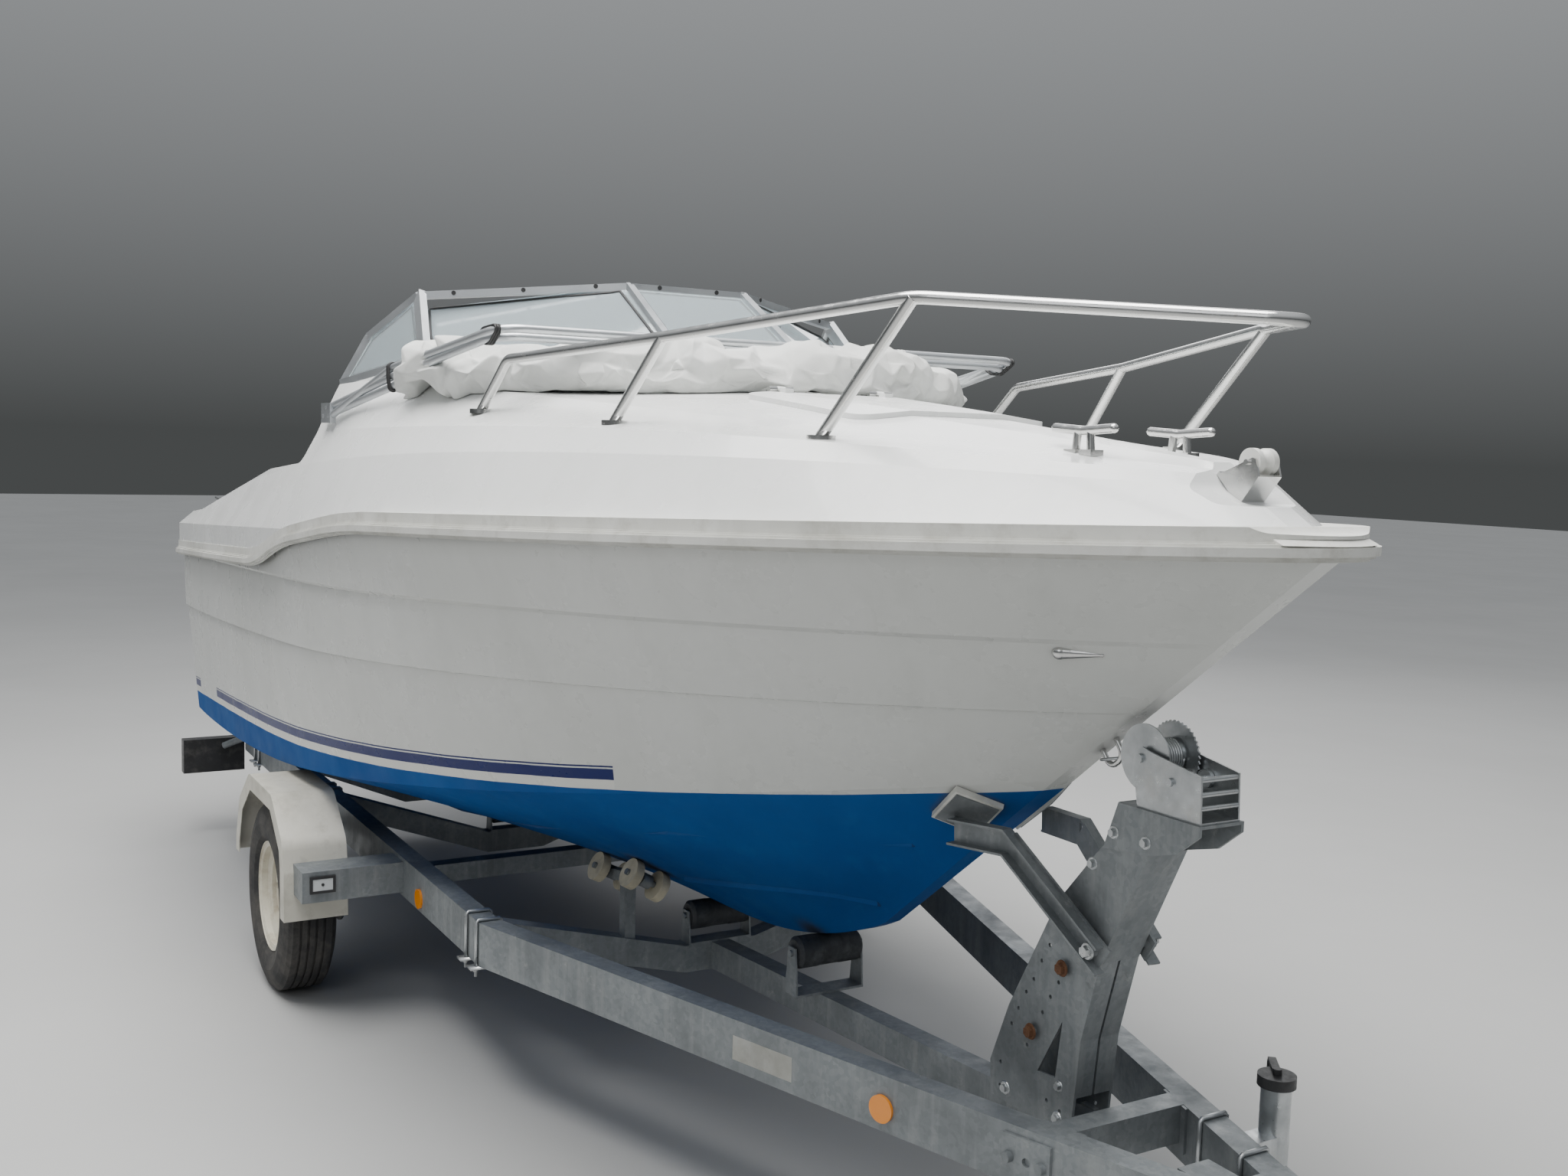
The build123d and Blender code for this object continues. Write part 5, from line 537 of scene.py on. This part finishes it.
def tube(points, radius, closed=False, sides=8):
    """Round tube along points, as a bmesh."""
    made = bmesh.new()
    points = [Vector(q) for q in points]
    count = len(points)
    rings, across = [], None
    for i, place in enumerate(points):
        before = points[i - 1] if i or closed else place
        after = points[(i + 1) % count] if i + 1 < count or closed else place
        along = (after - before).normalized()
        if across is None:
            across = along.orthogonal().normalized()
        across = (across - along * across.dot(along)).normalized()
        over = along.cross(across)
        ring = []
        for k in range(sides):
            turn = 2 * math.pi * k / sides
            ring.append(made.verts.new(place + radius * (math.cos(turn) * across + math.sin(turn) * over)))
        rings.append(ring)
    pairs = list(zip(rings, rings[1:])) + ([(rings[-1], rings[0])] if closed else [])
    for a, b in pairs:
        shift = 0
        if closed and a is rings[-1]:
            shift = min(range(sides), key=lambda k: (a[0].co - b[k].co).length)
        for k in range(sides):
            made.faces.new((a[k], a[(k + 1) % sides], b[(k + 1 + shift) % sides], b[(k + shift) % sides]))
    if not closed:
        made.faces.new(rings[0][::-1])
        made.faces.new(rings[-1])
    bmesh.ops.recalc_face_normals(made, faces=made.faces)
    return made


def disc(centre, axis, radius, high, sides=16):
    """Short cylinder standing on centre, along axis, a little narrower at its far end."""
    made = bmesh.new()
    turn = Vector(axis).normalized().to_track_quat("Z", "Y").to_matrix().to_4x4()
    place = Matrix.Translation(Vector(centre) + Vector(axis).normalized() * high / 2) @ turn
    far_radius = radius * 0.9
    bmesh.ops.create_cone(
        made, cap_ends=True, segments=sides, radius1=radius, radius2=far_radius, depth=high, matrix=place
    )
    return made


def box(middle, size):
    """Box with its sides along the axes."""
    made = bmesh.new()
    bmesh.ops.create_cube(made, size=1, matrix=Matrix.Translation(middle) @ Matrix.Diagonal((*size, 1)))
    return made


def joined(parts, name):
    """One mesh from several bmeshes."""
    mesh = bpy.data.meshes.new(name)
    whole = bmesh.new()
    for part in parts:
        spare = bpy.data.meshes.new("spare")
        part.to_mesh(spare)
        part.free()
        whole.from_mesh(spare)
        bpy.data.meshes.remove(spare)
    whole.to_mesh(mesh)
    whole.free()
    return mesh


def keep(name, parts, look, smooth=True):
    """Object made from bmeshes in the frame's own coordinates."""
    mesh = joined(parts, name)
    piece = bpy.data.objects.new(name, mesh)
    bpy.context.scene.collection.objects.link(piece)
    mesh.materials.append(looks[look])
    for face in mesh.polygons:
        face.use_smooth = smooth
    return piece


def applied(piece):
    """Mesh of a piece with its modifiers applied."""
    graph = bpy.context.evaluated_depsgraph_get()
    return bpy.data.meshes.new_from_object(piece.evaluated_get(graph), depsgraph=graph)


def remeshed(whole, voxel, name):
    """Object with an even closed grid over a bmesh."""
    mesh = bpy.data.meshes.new(name)
    whole.to_mesh(mesh)
    whole.free()
    piece = bpy.data.objects.new(name, mesh)
    bpy.context.scene.collection.objects.link(piece)
    grid = piece.modifiers.new("grid", "REMESH")
    grid.mode, grid.voxel_size = "VOXEL", voxel
    piece.data = applied(piece)
    piece.modifiers.clear()
    bpy.data.meshes.remove(mesh)
    return piece


def swell(piece, pressure, frames, cap, grow=0.0, held=lambda v: False, bend=0.5):
    """Cloth simulation on a closed piece: air inside, cloth a little too large, no point moved beyond cap."""
    mesh = piece.data
    start = [v.co.copy() for v in mesh.vertices]
    group = piece.vertex_groups.new(name="held")
    group.add([v.index for v in mesh.vertices if held(v.co)], 1.0, "REPLACE")
    cloth = piece.modifiers.new("cloth", "CLOTH")
    cloth.settings.quality = 4
    cloth.settings.mass = 0.3
    cloth.settings.bending_stiffness = bend
    cloth.settings.use_pressure = True
    cloth.settings.uniform_pressure_force = pressure
    cloth.settings.shrink_min = -grow
    cloth.settings.vertex_group_mass = "held"
    cloth.settings.effector_weights.gravity = 0
    cloth.collision_settings.use_collision = False
    cloth.point_cache.frame_start, cloth.point_cache.frame_end = 1, frames
    for number in range(1, frames + 1):
        bpy.context.scene.frame_set(number)
    graph = bpy.context.evaluated_depsgraph_get()
    ends = [v.co.copy() for v in piece.evaluated_get(graph).data.vertices]
    piece.modifiers.remove(cloth)
    piece.vertex_groups.clear()
    bpy.context.scene.frame_set(1)
    for v, a, b in zip(mesh.vertices, start, ends):
        step = b - a
        if step.length > 1e-9:
            step *= cap * (1 - math.exp(-step.length / cap)) / step.length
        v.co = a + step


def finer(piece, smooth=True):
    """One subdivision, applied."""
    old = piece.data
    more = piece.modifiers.new("finer", "SUBSURF")
    more.levels = more.render_levels = 1
    more.subdivision_type = "CATMULL_CLARK" if smooth else "SIMPLE"
    piece.data = applied(piece)
    piece.modifiers.clear()
    bpy.data.meshes.remove(old)


def creased(piece, faces):
    """Few flat folds with crisp creases between them, then fine enough again for the cloth."""
    old = piece.data
    fewer = piece.modifiers.new("fewer", "DECIMATE")
    fewer.ratio = faces / (2 * len(old.polygons))
    piece.data = applied(piece)
    piece.modifiers.clear()
    bpy.data.meshes.remove(old)
    finer(piece, smooth=False)
    finer(piece, smooth=False)


LIFT_REACH = 0.08


def clear_of(piece, tree, gap):
    """Lifts the points that lie inside a solid, or nearer than gap, to that gap."""
    for v in piece.data.vertices:
        place, normal, _, _ = tree.find_nearest(v.co, LIFT_REACH)
        if place is not None and (v.co - place).dot(normal) < gap:
            v.co = place + normal * gap


def dress(piece, look, *nodes, fill):
    """Gives a soft piece its look in place of its plain CAD solid."""
    piece.data.materials.clear()
    piece.data.materials.append(looks[look])
    for face in piece.data.polygons:
        face.use_smooth = True
    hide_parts(*nodes)


# Folded canopy cloth: the bundle roughened, folded flat, then crumpled by cloth that is larger than its form
FOLD_FACES, CANOPY_GRID, CANOPY_OUT = 1500, 0.0125, 0.008
FOLD_HIGH, DENT_HIGH, SMALL_HIGH = 0.024, 0.015, 0.005
DECK_NEAR, DECK_GAP, BOW_GAP = 0.016, 0.002, 0.0015
deck_tree = node_tree("deck")
bow_tree = node_tree("canopy_bows")
canopy = remeshed(node_mesh("canvas_bundle"), CANOPY_GRID, "canopy_cloth")


def ridges(place):
    """Height of sharp ridges between round hollows."""
    return 1 - 4 * abs(noise.noise(place))


for v in canopy.data.vertices:
    fold = ridges(Vector((v.co.x * 3.6 + v.co.z * 4, v.co.y * 3.0, v.co.z * 15)))
    dent = ridges(v.co * 8 + Vector((3, 1, 7)))
    small = ridges(v.co * 19 + Vector((9, 4, 2)))
    v.co += v.normal * (CANOPY_OUT + FOLD_HIGH * fold + DENT_HIGH * dent + SMALL_HIGH * small)
canopy.data.update()
creased(canopy, FOLD_FACES)


def on_deck(place):
    return deck_tree.find_nearest(place, DECK_NEAR)[0] is not None


swell(canopy, pressure=0.25, frames=10, cap=0.010, grow=0.12, held=on_deck, bend=0.4)
clear_of(canopy, deck_tree, DECK_GAP)
finer(canopy)
clear_of(canopy, bow_tree, BOW_GAP)
dress(canopy, "canvas", "canvas_bundle", fill=0.35)
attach(canopy, ROOT)

# Cushions: each starts smaller than its solid, is blown up, and lies flat on what carries it
CUSHION_PRESSURE, CUSHION_FRAMES, CUSHION_SINK, CUSHION_GAP = 4.0, 18, 0.8, 0.0005
PIPING_SHARES, PIPING_STEPS, PIPING_REACH, PIPING_RADIUS = (0.16, 0.84), 96, 0.52, 0.004


def piping_runs(surface, boxes):
    """Piping round each cushion near both of its broad faces, but not on an underside."""
    runs = []
    for low, high in boxes:
        size = high - low
        thin = min(range(3), key=lambda i: size[i])
        a, b = [i for i in range(3) if i != thin]
        for share in PIPING_SHARES:
            if thin == 2 and share < 0.5:
                continue
            loop = []
            for step in range(PIPING_STEPS):
                turn = 2 * math.pi * step / PIPING_STEPS
                c, s = math.cos(turn), math.sin(turn)
                reach = 1 / max(abs(c), abs(s)) * PIPING_REACH
                spot = (low + high) / 2
                spot[a] += c * reach * size[a]
                spot[b] += s * reach * size[b]
                spot[thin] = low[thin] + share * size[thin]
                loop.append(surface.find_nearest(spot)[0])
            runs.append(tube(loop, PIPING_RADIUS, closed=True, sides=6))
    return runs


def cushions(name, node, voxel, inset, cap, fill, look, body=ROOT, piping=True):
    """Soft cushions in place of a node's solids, with piping round them as a piece of its own."""
    whole = node_mesh(node)
    boxes = []
    for group in islands(whole):
        low = Vector([min(v.co[i] for v in group) for i in range(3)])
        high = Vector([max(v.co[i] for v in group) for i in range(3)])
        middle, size = (low + high) / 2, high - low
        boxes.append((low, high))
        for v in group:
            v.co = Vector([middle[i] + (v.co[i] - middle[i]) * (1 - 2 * inset / size[i]) for i in range(3)])
            v.co.z -= inset * CUSHION_SINK
    piece = remeshed(whole, voxel, name)
    swell(piece, CUSHION_PRESSURE, CUSHION_FRAMES, cap)
    for v in piece.data.vertices:
        v.co.z = max(v.co.z, boxes[0][0].z + CUSHION_GAP)
    finer(piece)
    dress(piece, look, node, fill=fill)
    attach(piece, body)
    if piping:
        places = [v.co.copy() for v in piece.data.vertices]
        surface = BVHTree.FromPolygons(places, [face.vertices[:] for face in piece.data.polygons])
        edge = keep(name + "_piping", piping_runs(surface, boxes), look)
        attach(edge, body)


cushions("seat_pads", "seat_cushions", voxel=0.011, inset=0.012, cap=0.016, fill=0.75, look="vinyl")
cushions(
    "sun_pad_cover", "sun_pad", voxel=0.014, inset=0.012, cap=0.016, fill=0.8, look="vinyl", body="engine_lid"
)
cushions(
    "berth_pads", "berth_cushions", voxel=0.022, inset=0.012, cap=0.014, fill=0.6, look="berth_cloth",
    piping=False,
)

# Gaskets round the windshield's panes
GASKET_INSET, GASKET_RADIUS = 0.019, 0.0045


def pane_edges():
    """Corners of each pane's larger broad face, drawn in towards its middle."""
    whole = node_mesh("windshield_glass")
    bmesh.ops.dissolve_limit(whole, angle_limit=math.radians(2), verts=whole.verts, edges=whole.edges)
    loops = []
    for group in islands(whole):
        faces = {face for v in group for face in v.link_faces}
        broad = max(faces, key=lambda face: face.calc_area())
        middle = broad.calc_center_median()
        loops.append([v.co + (middle - v.co).normalized() * GASKET_INSET for v in broad.verts])
    whole.free()
    return loops


def dense(points, step=0.02):
    """Closed loop with more points along its straight runs."""
    out = []
    for a, b in zip(points, points[1:] + points[:1]):
        parts = max(1, round((b - a).length / step))
        out += [a.lerp(b, i / parts) for i in range(parts)]
    return out


strips = [tube(dense(loop), GASKET_RADIUS, closed=True, sides=6) for loop in pane_edges()]
gaskets = keep("pane_gaskets", strips, "gasket")
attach(gaskets, ROOT)

# Press studs for the canopy along the windshield's top rail, found by rays from ahead and above
STUD_STEP, STUD_SUNK, STUD_DROP = 0.16, 0.0025, Vector((0, 0, 0.005))
STUD_RADIUS, STUD_HIGH, STUD_SIDE_Y = 0.0075, 0.004, 0.4
RAY_AHEAD, RAY_OUTWARD, RAY_ABOVE, RAY_REACH = 0.25, 0.12, 0.16, 0.6
frame_tree = node_tree("windshield_frame")
top_line = [(0.215, 0.880, 1.985), (0.489, 0.721, 2.234), (0.826, 0.192, 2.275)]
top_line = [at(*q) for q in top_line] + [at(x, -y, z) for x, y, z in reversed(top_line)]
studs = []
for a, b in zip(top_line, top_line[1:]):
    count = int((b - a).length / STUD_STEP)
    for i in range(count):
        spot = a.lerp(b, (i + 0.5) / count) - STUD_DROP
        outward = math.copysign(RAY_OUTWARD, spot.y) if abs(spot.y) > STUD_SIDE_Y else 0
        away = Vector((RAY_AHEAD, outward, RAY_ABOVE))
        hit, normal, _, _ = frame_tree.ray_cast(spot + away, -away, RAY_REACH)
        if hit is not None:
            studs.append(disc(hit - normal * STUD_SUNK, normal, STUD_RADIUS, STUD_HIGH, sides=12))
studs = keep("canopy_studs", studs, "gasket", smooth=False)
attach(studs, ROOT)

# Ties that hold the folded bows together, each wrapped tight round the tubes that it meets
TIE_RADIUS, TIE_REACH, TIE_PITCH, TIE_CLEAR, TIE_STEP = 0.003, 0.075, 2.1, 1.1, 0.008
AXIS_REACH, AXIS_ROUNDS, AXIS_GUESS = 2.5, 40, (1, 0.1, 0.2)
TIE_PLACES = [at(1.36, -0.80, 2.07), at(1.36, 0.80, 2.07), at(0.79, -0.886, 1.978), at(0.79, 0.886, 1.978)]


def turns_in(a, b, c):
    """True where the way from a by b to c doesn't bend to the left."""
    return (b[0] - a[0]) * (c[1] - a[1]) <= (b[1] - a[1]) * (c[0] - a[0])


def hull_of(points):
    """Convex outline of points in a plane."""
    points = sorted(set(points))

    def half(run):
        out = []
        for q in run:
            while len(out) > 1 and turns_in(out[-2], out[-1], q):
                out.pop()
            out.append(q)
        return out[:-1]

    return half(points) + half(points[::-1])


def wrap(spot):
    """Cord wound three times round the tubes near spot, in the plane square to them.

    The tubes' axis is the way in which their faces look least, found by repeated inverse steps.
    """
    tubes = node_mesh("canopy_bows")
    spread = Matrix(((0, 0, 0), (0, 0, 0), (0, 0, 0)))
    for face in tubes.faces:
        if min((v.co - spot).length for v in face.verts) < AXIS_REACH * TIE_REACH:
            n = face.normal * face.calc_area()
            spread += Matrix([[n[i] * n[j] for j in range(3)] for i in range(3)])
    axis = Vector(AXIS_GUESS)
    loosened = spread + Matrix.Identity(3) * (spread[0][0] + spread[1][1] + spread[2][2]) * 1e-4
    for _ in range(AXIS_ROUNDS):
        axis = (loosened.inverted() @ axis).normalized()
    across = axis.orthogonal().normalized()
    over = axis.cross(across)
    everything = tubes.verts[:] + tubes.edges[:] + tubes.faces[:]
    cut = bmesh.ops.bisect_plane(tubes, geom=everything, plane_co=spot, plane_no=axis)["geom_cut"]
    met = [v.co - spot for v in cut if isinstance(v, bmesh.types.BMVert) and (v.co - spot).length < TIE_REACH]
    outline = hull_of([(round(q.dot(across), 5), round(q.dot(over), 5)) for q in met])
    tubes.free()
    if len(outline) < 3:
        return []
    middle = Vector((sum(q[0] for q in outline), sum(q[1] for q in outline))) / len(outline)
    parts = []
    for shift in (-TIE_PITCH * TIE_RADIUS, 0.0, TIE_PITCH * TIE_RADIUS):
        ring = []
        for q in outline:
            flat = Vector(q) - middle
            flat = middle + flat * (1 + TIE_RADIUS * TIE_CLEAR / flat.length)
            ring.append(spot + across * flat.x + over * flat.y + axis * shift)
        parts.append(tube(dense(ring, TIE_STEP), TIE_RADIUS, closed=True, sides=6))
    return parts


ties = keep("canopy_ties", [part for spot in TIE_PLACES for part in wrap(spot)], "gasket")
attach(ties, ROOT)

# U-bolts over the side rails, each with its plate and nuts below
RAIL_LOW, RAIL_HIGH, RAIL_MIDDLE, RAIL_HALF = 0.391, 0.511, 0.722, 0.030
RAIL_BEND_X, RAIL_TAPER, RAIL_WIDER = 1.169, 0.3186, 1.05
BOLT_RADIUS, BOLT_CLEAR, BOLT_CORNER, BOLT_OVER, BOLT_UNDER = 0.005, 0.0052, 0.006, 0.0055, 0.030
PLATE_LONG, PLATE_EXTRA, PLATE_THICK, PLATE_UNDER = 0.036, 0.040, 0.006, 0.004
NUT_RADIUS, NUT_HIGH, NUT_UNDER = 0.009, 0.009, 0.007
PAIRED_BOLTS, SINGLE_BOLTS = (-1.762, -1.678, -0.642, -0.558, 1.080, 1.164), (2.965, 3.115)


def u_bolt(x, side):
    """Bolt bent over the rail, plate under the rail and two nuts."""
    middle = RAIL_MIDDLE - RAIL_TAPER * max(0.0, x - RAIL_BEND_X)
    half = RAIL_HALF * (RAIL_WIDER if x > RAIL_BEND_X else 1.0) + BOLT_CLEAR
    path = [(half, RAIL_LOW - BOLT_UNDER), (half, RAIL_HIGH), (half - BOLT_CORNER, RAIL_HIGH + BOLT_OVER)]
    path += [(-across, z) for across, z in reversed(path)]
    parts = [tube([at(x, side * (middle + across), z) for across, z in path], BOLT_RADIUS)]
    plate_middle = at(x, side * middle, RAIL_LOW - PLATE_UNDER)
    parts.append(box(plate_middle, (PLATE_LONG, 2 * half + PLATE_EXTRA, PLATE_THICK)))
    for turn in (1, -1):
        nut_top = at(x, side * (middle + turn * half), RAIL_LOW - NUT_UNDER)
        parts.append(disc(nut_top, (0, 0, -1), NUT_RADIUS, NUT_HIGH, sides=6))
    return parts


bolts = []
for x in PAIRED_BOLTS:
    bolts += u_bolt(x, 1) + u_bolt(x, -1)
for x in SINGLE_BOLTS:
    bolts += u_bolt(x, 1)
rail_bolts = keep("rail_u_bolts", bolts, "zinc")
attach(rail_bolts, ROOT)

# Bolt heads on the winch post, some of them rusty
POST_FACE, RUSTY_OUT, BRACE_OUT, BRACE_X = 0.051, 0.009, 0.006, 2.84
RUSTY_BOLTS, RUSTY_RADIUS, PIVOT_BOLT = ((2.734, 0.776), (2.645, 0.612)), 0.013, (2.834, 0.084, 0.846)
CLEAN_BOLTS = (
    (2.731, 0.524, 0.008), (2.560, 0.455, 0.010), (2.730, 0.455, 0.010),
    (2.800, 1.010, 0.009), (2.862, 1.088, 0.009), (2.950, 1.088, 0.009),
)


def bolt_head(start, side, washer, washer_high, radius, high):
    """Washer and six-sided head on a face that looks to one side."""
    out = Vector((0, side, 0))
    head = disc(start + out * washer_high, out, radius, high, sides=6)
    return [disc(start, out, washer, washer_high, sides=20), head]


heads, rusted = [], []
for side in (1, -1):
    for x, z in RUSTY_BOLTS:
        start = at(x, side * (POST_FACE + RUSTY_OUT), z)
        rusted += bolt_head(start, side, RUSTY_RADIUS * 1.35, 0.003, RUSTY_RADIUS, high=0.008)
    for x, z, radius in CLEAN_BOLTS:
        face = POST_FACE if x < BRACE_X else POST_FACE + BRACE_OUT
        heads += bolt_head(at(x, side * face, z), side, radius * 1.5, 0.002, radius, high=0.007)
    start = at(PIVOT_BOLT[0], side * PIVOT_BOLT[1], PIVOT_BOLT[2])
    heads += bolt_head(start, side, washer=0.018, washer_high=0.003, radius=0.013, high=0.010)
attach(keep("post_bolts", heads, "zinc", smooth=False), ROOT)
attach(keep("post_bolts_rusty", rusted, "rusty", smooth=False), ROOT)

# Wire wound on the winch drum
DRUM_X, DRUM_Z, DRUM_RADIUS, COIL_HALF = 2.918, 1.245, 0.030, 0.031
WIRE, TURNS, TURN_STEPS = 0.003, 10, 28
coil = []
coil_radius = DRUM_RADIUS + WIRE * 0.9
for step in range(TURNS * TURN_STEPS + 1):
    turn = 2 * math.pi * step / TURN_STEPS
    y = -COIL_HALF + 2 * COIL_HALF * step / (TURNS * TURN_STEPS)
    coil.append(at(DRUM_X + coil_radius * math.cos(turn), y, DRUM_Z + coil_radius * math.sin(turn)))
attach(keep("winch_wire_turns", [tube(coil, WIRE, sides=6)], "zinc"), ROOT)

# Blank label on the starboard rail
LABEL_AFT_X, LABEL_FORE_X, LABEL_LOW_Z, LABEL_HIGH_Z = 2.084, 2.257, 0.417, 0.474
LABEL_OFF, LABEL_THICK = 0.0004, 0.0005
RAIL_NOSE_X, RAIL_NOSE_Y = 3.2108, 0.10297


def rail_face(x):
    """Distance of the rail's outer face from the middle line, ahead of its bend."""
    return RAIL_NOSE_Y + (RAIL_NOSE_X - x) * RAIL_TAPER


label = bmesh.new()
corners = [(LABEL_AFT_X, LABEL_LOW_Z), (LABEL_FORE_X, LABEL_LOW_Z)]
corners += [(LABEL_FORE_X, LABEL_HIGH_Z), (LABEL_AFT_X, LABEL_HIGH_Z)]
sheet = label.faces.new([label.verts.new(at(x, -rail_face(x) - LABEL_OFF, z)) for x, z in corners])
bmesh.ops.solidify(label, geom=[sheet], thickness=-LABEL_THICK)
bmesh.ops.recalc_face_normals(label, faces=label.faces)
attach(keep("rail_label", [label], "label", smooth=False), ROOT)

# Link between the winch wire and the bow eye
STEM_SPOT, STEM_AHEAD, EYE_OUT = Vector((2.741, 0, 1.243)), Vector((0.970, 0, -1.235)), 0.040
LINK_X, LINK_Z, LINK_LONG, LINK_HALF, LINK_RISE = 0.016, 0.002, 0.024, 0.012, 0.006
LINK_WIRE, LINK_STEPS = 0.0032, 32
eye = STEM_SPOT + STEM_AHEAD.normalized() * EYE_OUT
link = []
for k in range(LINK_STEPS):
    turn = 2 * math.pi * k / LINK_STEPS
    ahead, rise = LINK_X + LINK_LONG * math.cos(turn), LINK_Z + LINK_RISE * math.cos(turn)
    link.append(at(eye.x + ahead, LINK_HALF * math.sin(turn), eye.z + rise))
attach(keep("bow_link", [tube(link, LINK_WIRE, closed=True, sides=8)], "zinc"), ROOT)

# Lip that closes the rub rail under the deck's flange, round the stem
SEAM_HALF, SEAM_STEPS, SEAM_DEEP, SEAM_SUNK = 0.118, 24, 0.016, 0.002
SEAM_LOW_Z, SEAM_HIGH_Z, SEAM_RAY_OFF, SEAM_RAY_X, SEAM_RAY_REACH = 1.6785, 1.6885, 0.006, 3.4, 1.2
rail_tree = node_tree("rub_rail")
seam = bmesh.new()
sections = []
for step in range(SEAM_STEPS + 1):
    y = SEAM_HALF * (2 * step / SEAM_STEPS - 1)
    fronts = []
    for z in (SEAM_LOW_Z - SEAM_RAY_OFF, SEAM_HIGH_Z + SEAM_RAY_OFF):
        hit = rail_tree.ray_cast(Vector((SEAM_RAY_X, y, z)), Vector((-1, 0, 0)), SEAM_RAY_REACH)[0]
        fronts.append(hit.x - SEAM_SUNK)
    low, high = fronts
    shape = [(low, SEAM_LOW_Z), (high, SEAM_HIGH_Z)]
    shape += [(high - SEAM_DEEP, SEAM_HIGH_Z), (low - SEAM_DEEP, SEAM_LOW_Z)]
    sections.append([seam.verts.new((x, y, z)) for x, z in shape])
for one, two in zip(sections, sections[1:]):
    for k in range(4):
        seam.faces.new((one[k], one[(k + 1) % 4], two[(k + 1) % 4], two[k]))
seam.faces.new(sections[0])
seam.faces.new(sections[-1])
bmesh.ops.recalc_face_normals(seam, faces=seam.faces)
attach(keep("nose_rail_seam", [seam], "rail_vinyl", smooth=False), ROOT)

# Dark surrounds and centre screws of the clear front markers
MARKER_X, MARKER_DEEP, MARKER_EDGE = 0.465, 0.008, 0.008
MARKER_IN_Y, MARKER_OUT_Y, MARKER_LOW_Z, MARKER_HIGH_Z = 0.970, 1.030, 0.442, 0.478
SCREW_OUT, SCREW_RADIUS, SCREW_HIGH = 0.0055, 0.005, 0.0025
surrounds = []
for side in (1, -1):
    y0, y1 = sorted((side * MARKER_IN_Y, side * MARKER_OUT_Y))
    bars = [(y0 - MARKER_EDGE, y1 + MARKER_EDGE, MARKER_HIGH_Z, MARKER_HIGH_Z + MARKER_EDGE)]
    bars += [(y0 - MARKER_EDGE, y1 + MARKER_EDGE, MARKER_LOW_Z - MARKER_EDGE, MARKER_LOW_Z)]
    bars.append((y0 - MARKER_EDGE, y0, MARKER_LOW_Z, MARKER_HIGH_Z))
    bars.append((y1, y1 + MARKER_EDGE, MARKER_LOW_Z, MARKER_HIGH_Z))
    for low_y, high_y, low_z, high_z in bars:
        low, high = at(MARKER_X, low_y, low_z), at(MARKER_X + MARKER_DEEP, high_y, high_z)
        surrounds.append(box((low + high) / 2, high - low))
    centre = at(MARKER_X + SCREW_OUT, (y0 + y1) / 2, (MARKER_LOW_Z + MARKER_HIGH_Z) / 2)
    surrounds.append(disc(centre, (1, 0, 0), SCREW_RADIUS, SCREW_HIGH))
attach(keep("marker_surrounds", surrounds, "black_plastic", smooth=False), ROOT)
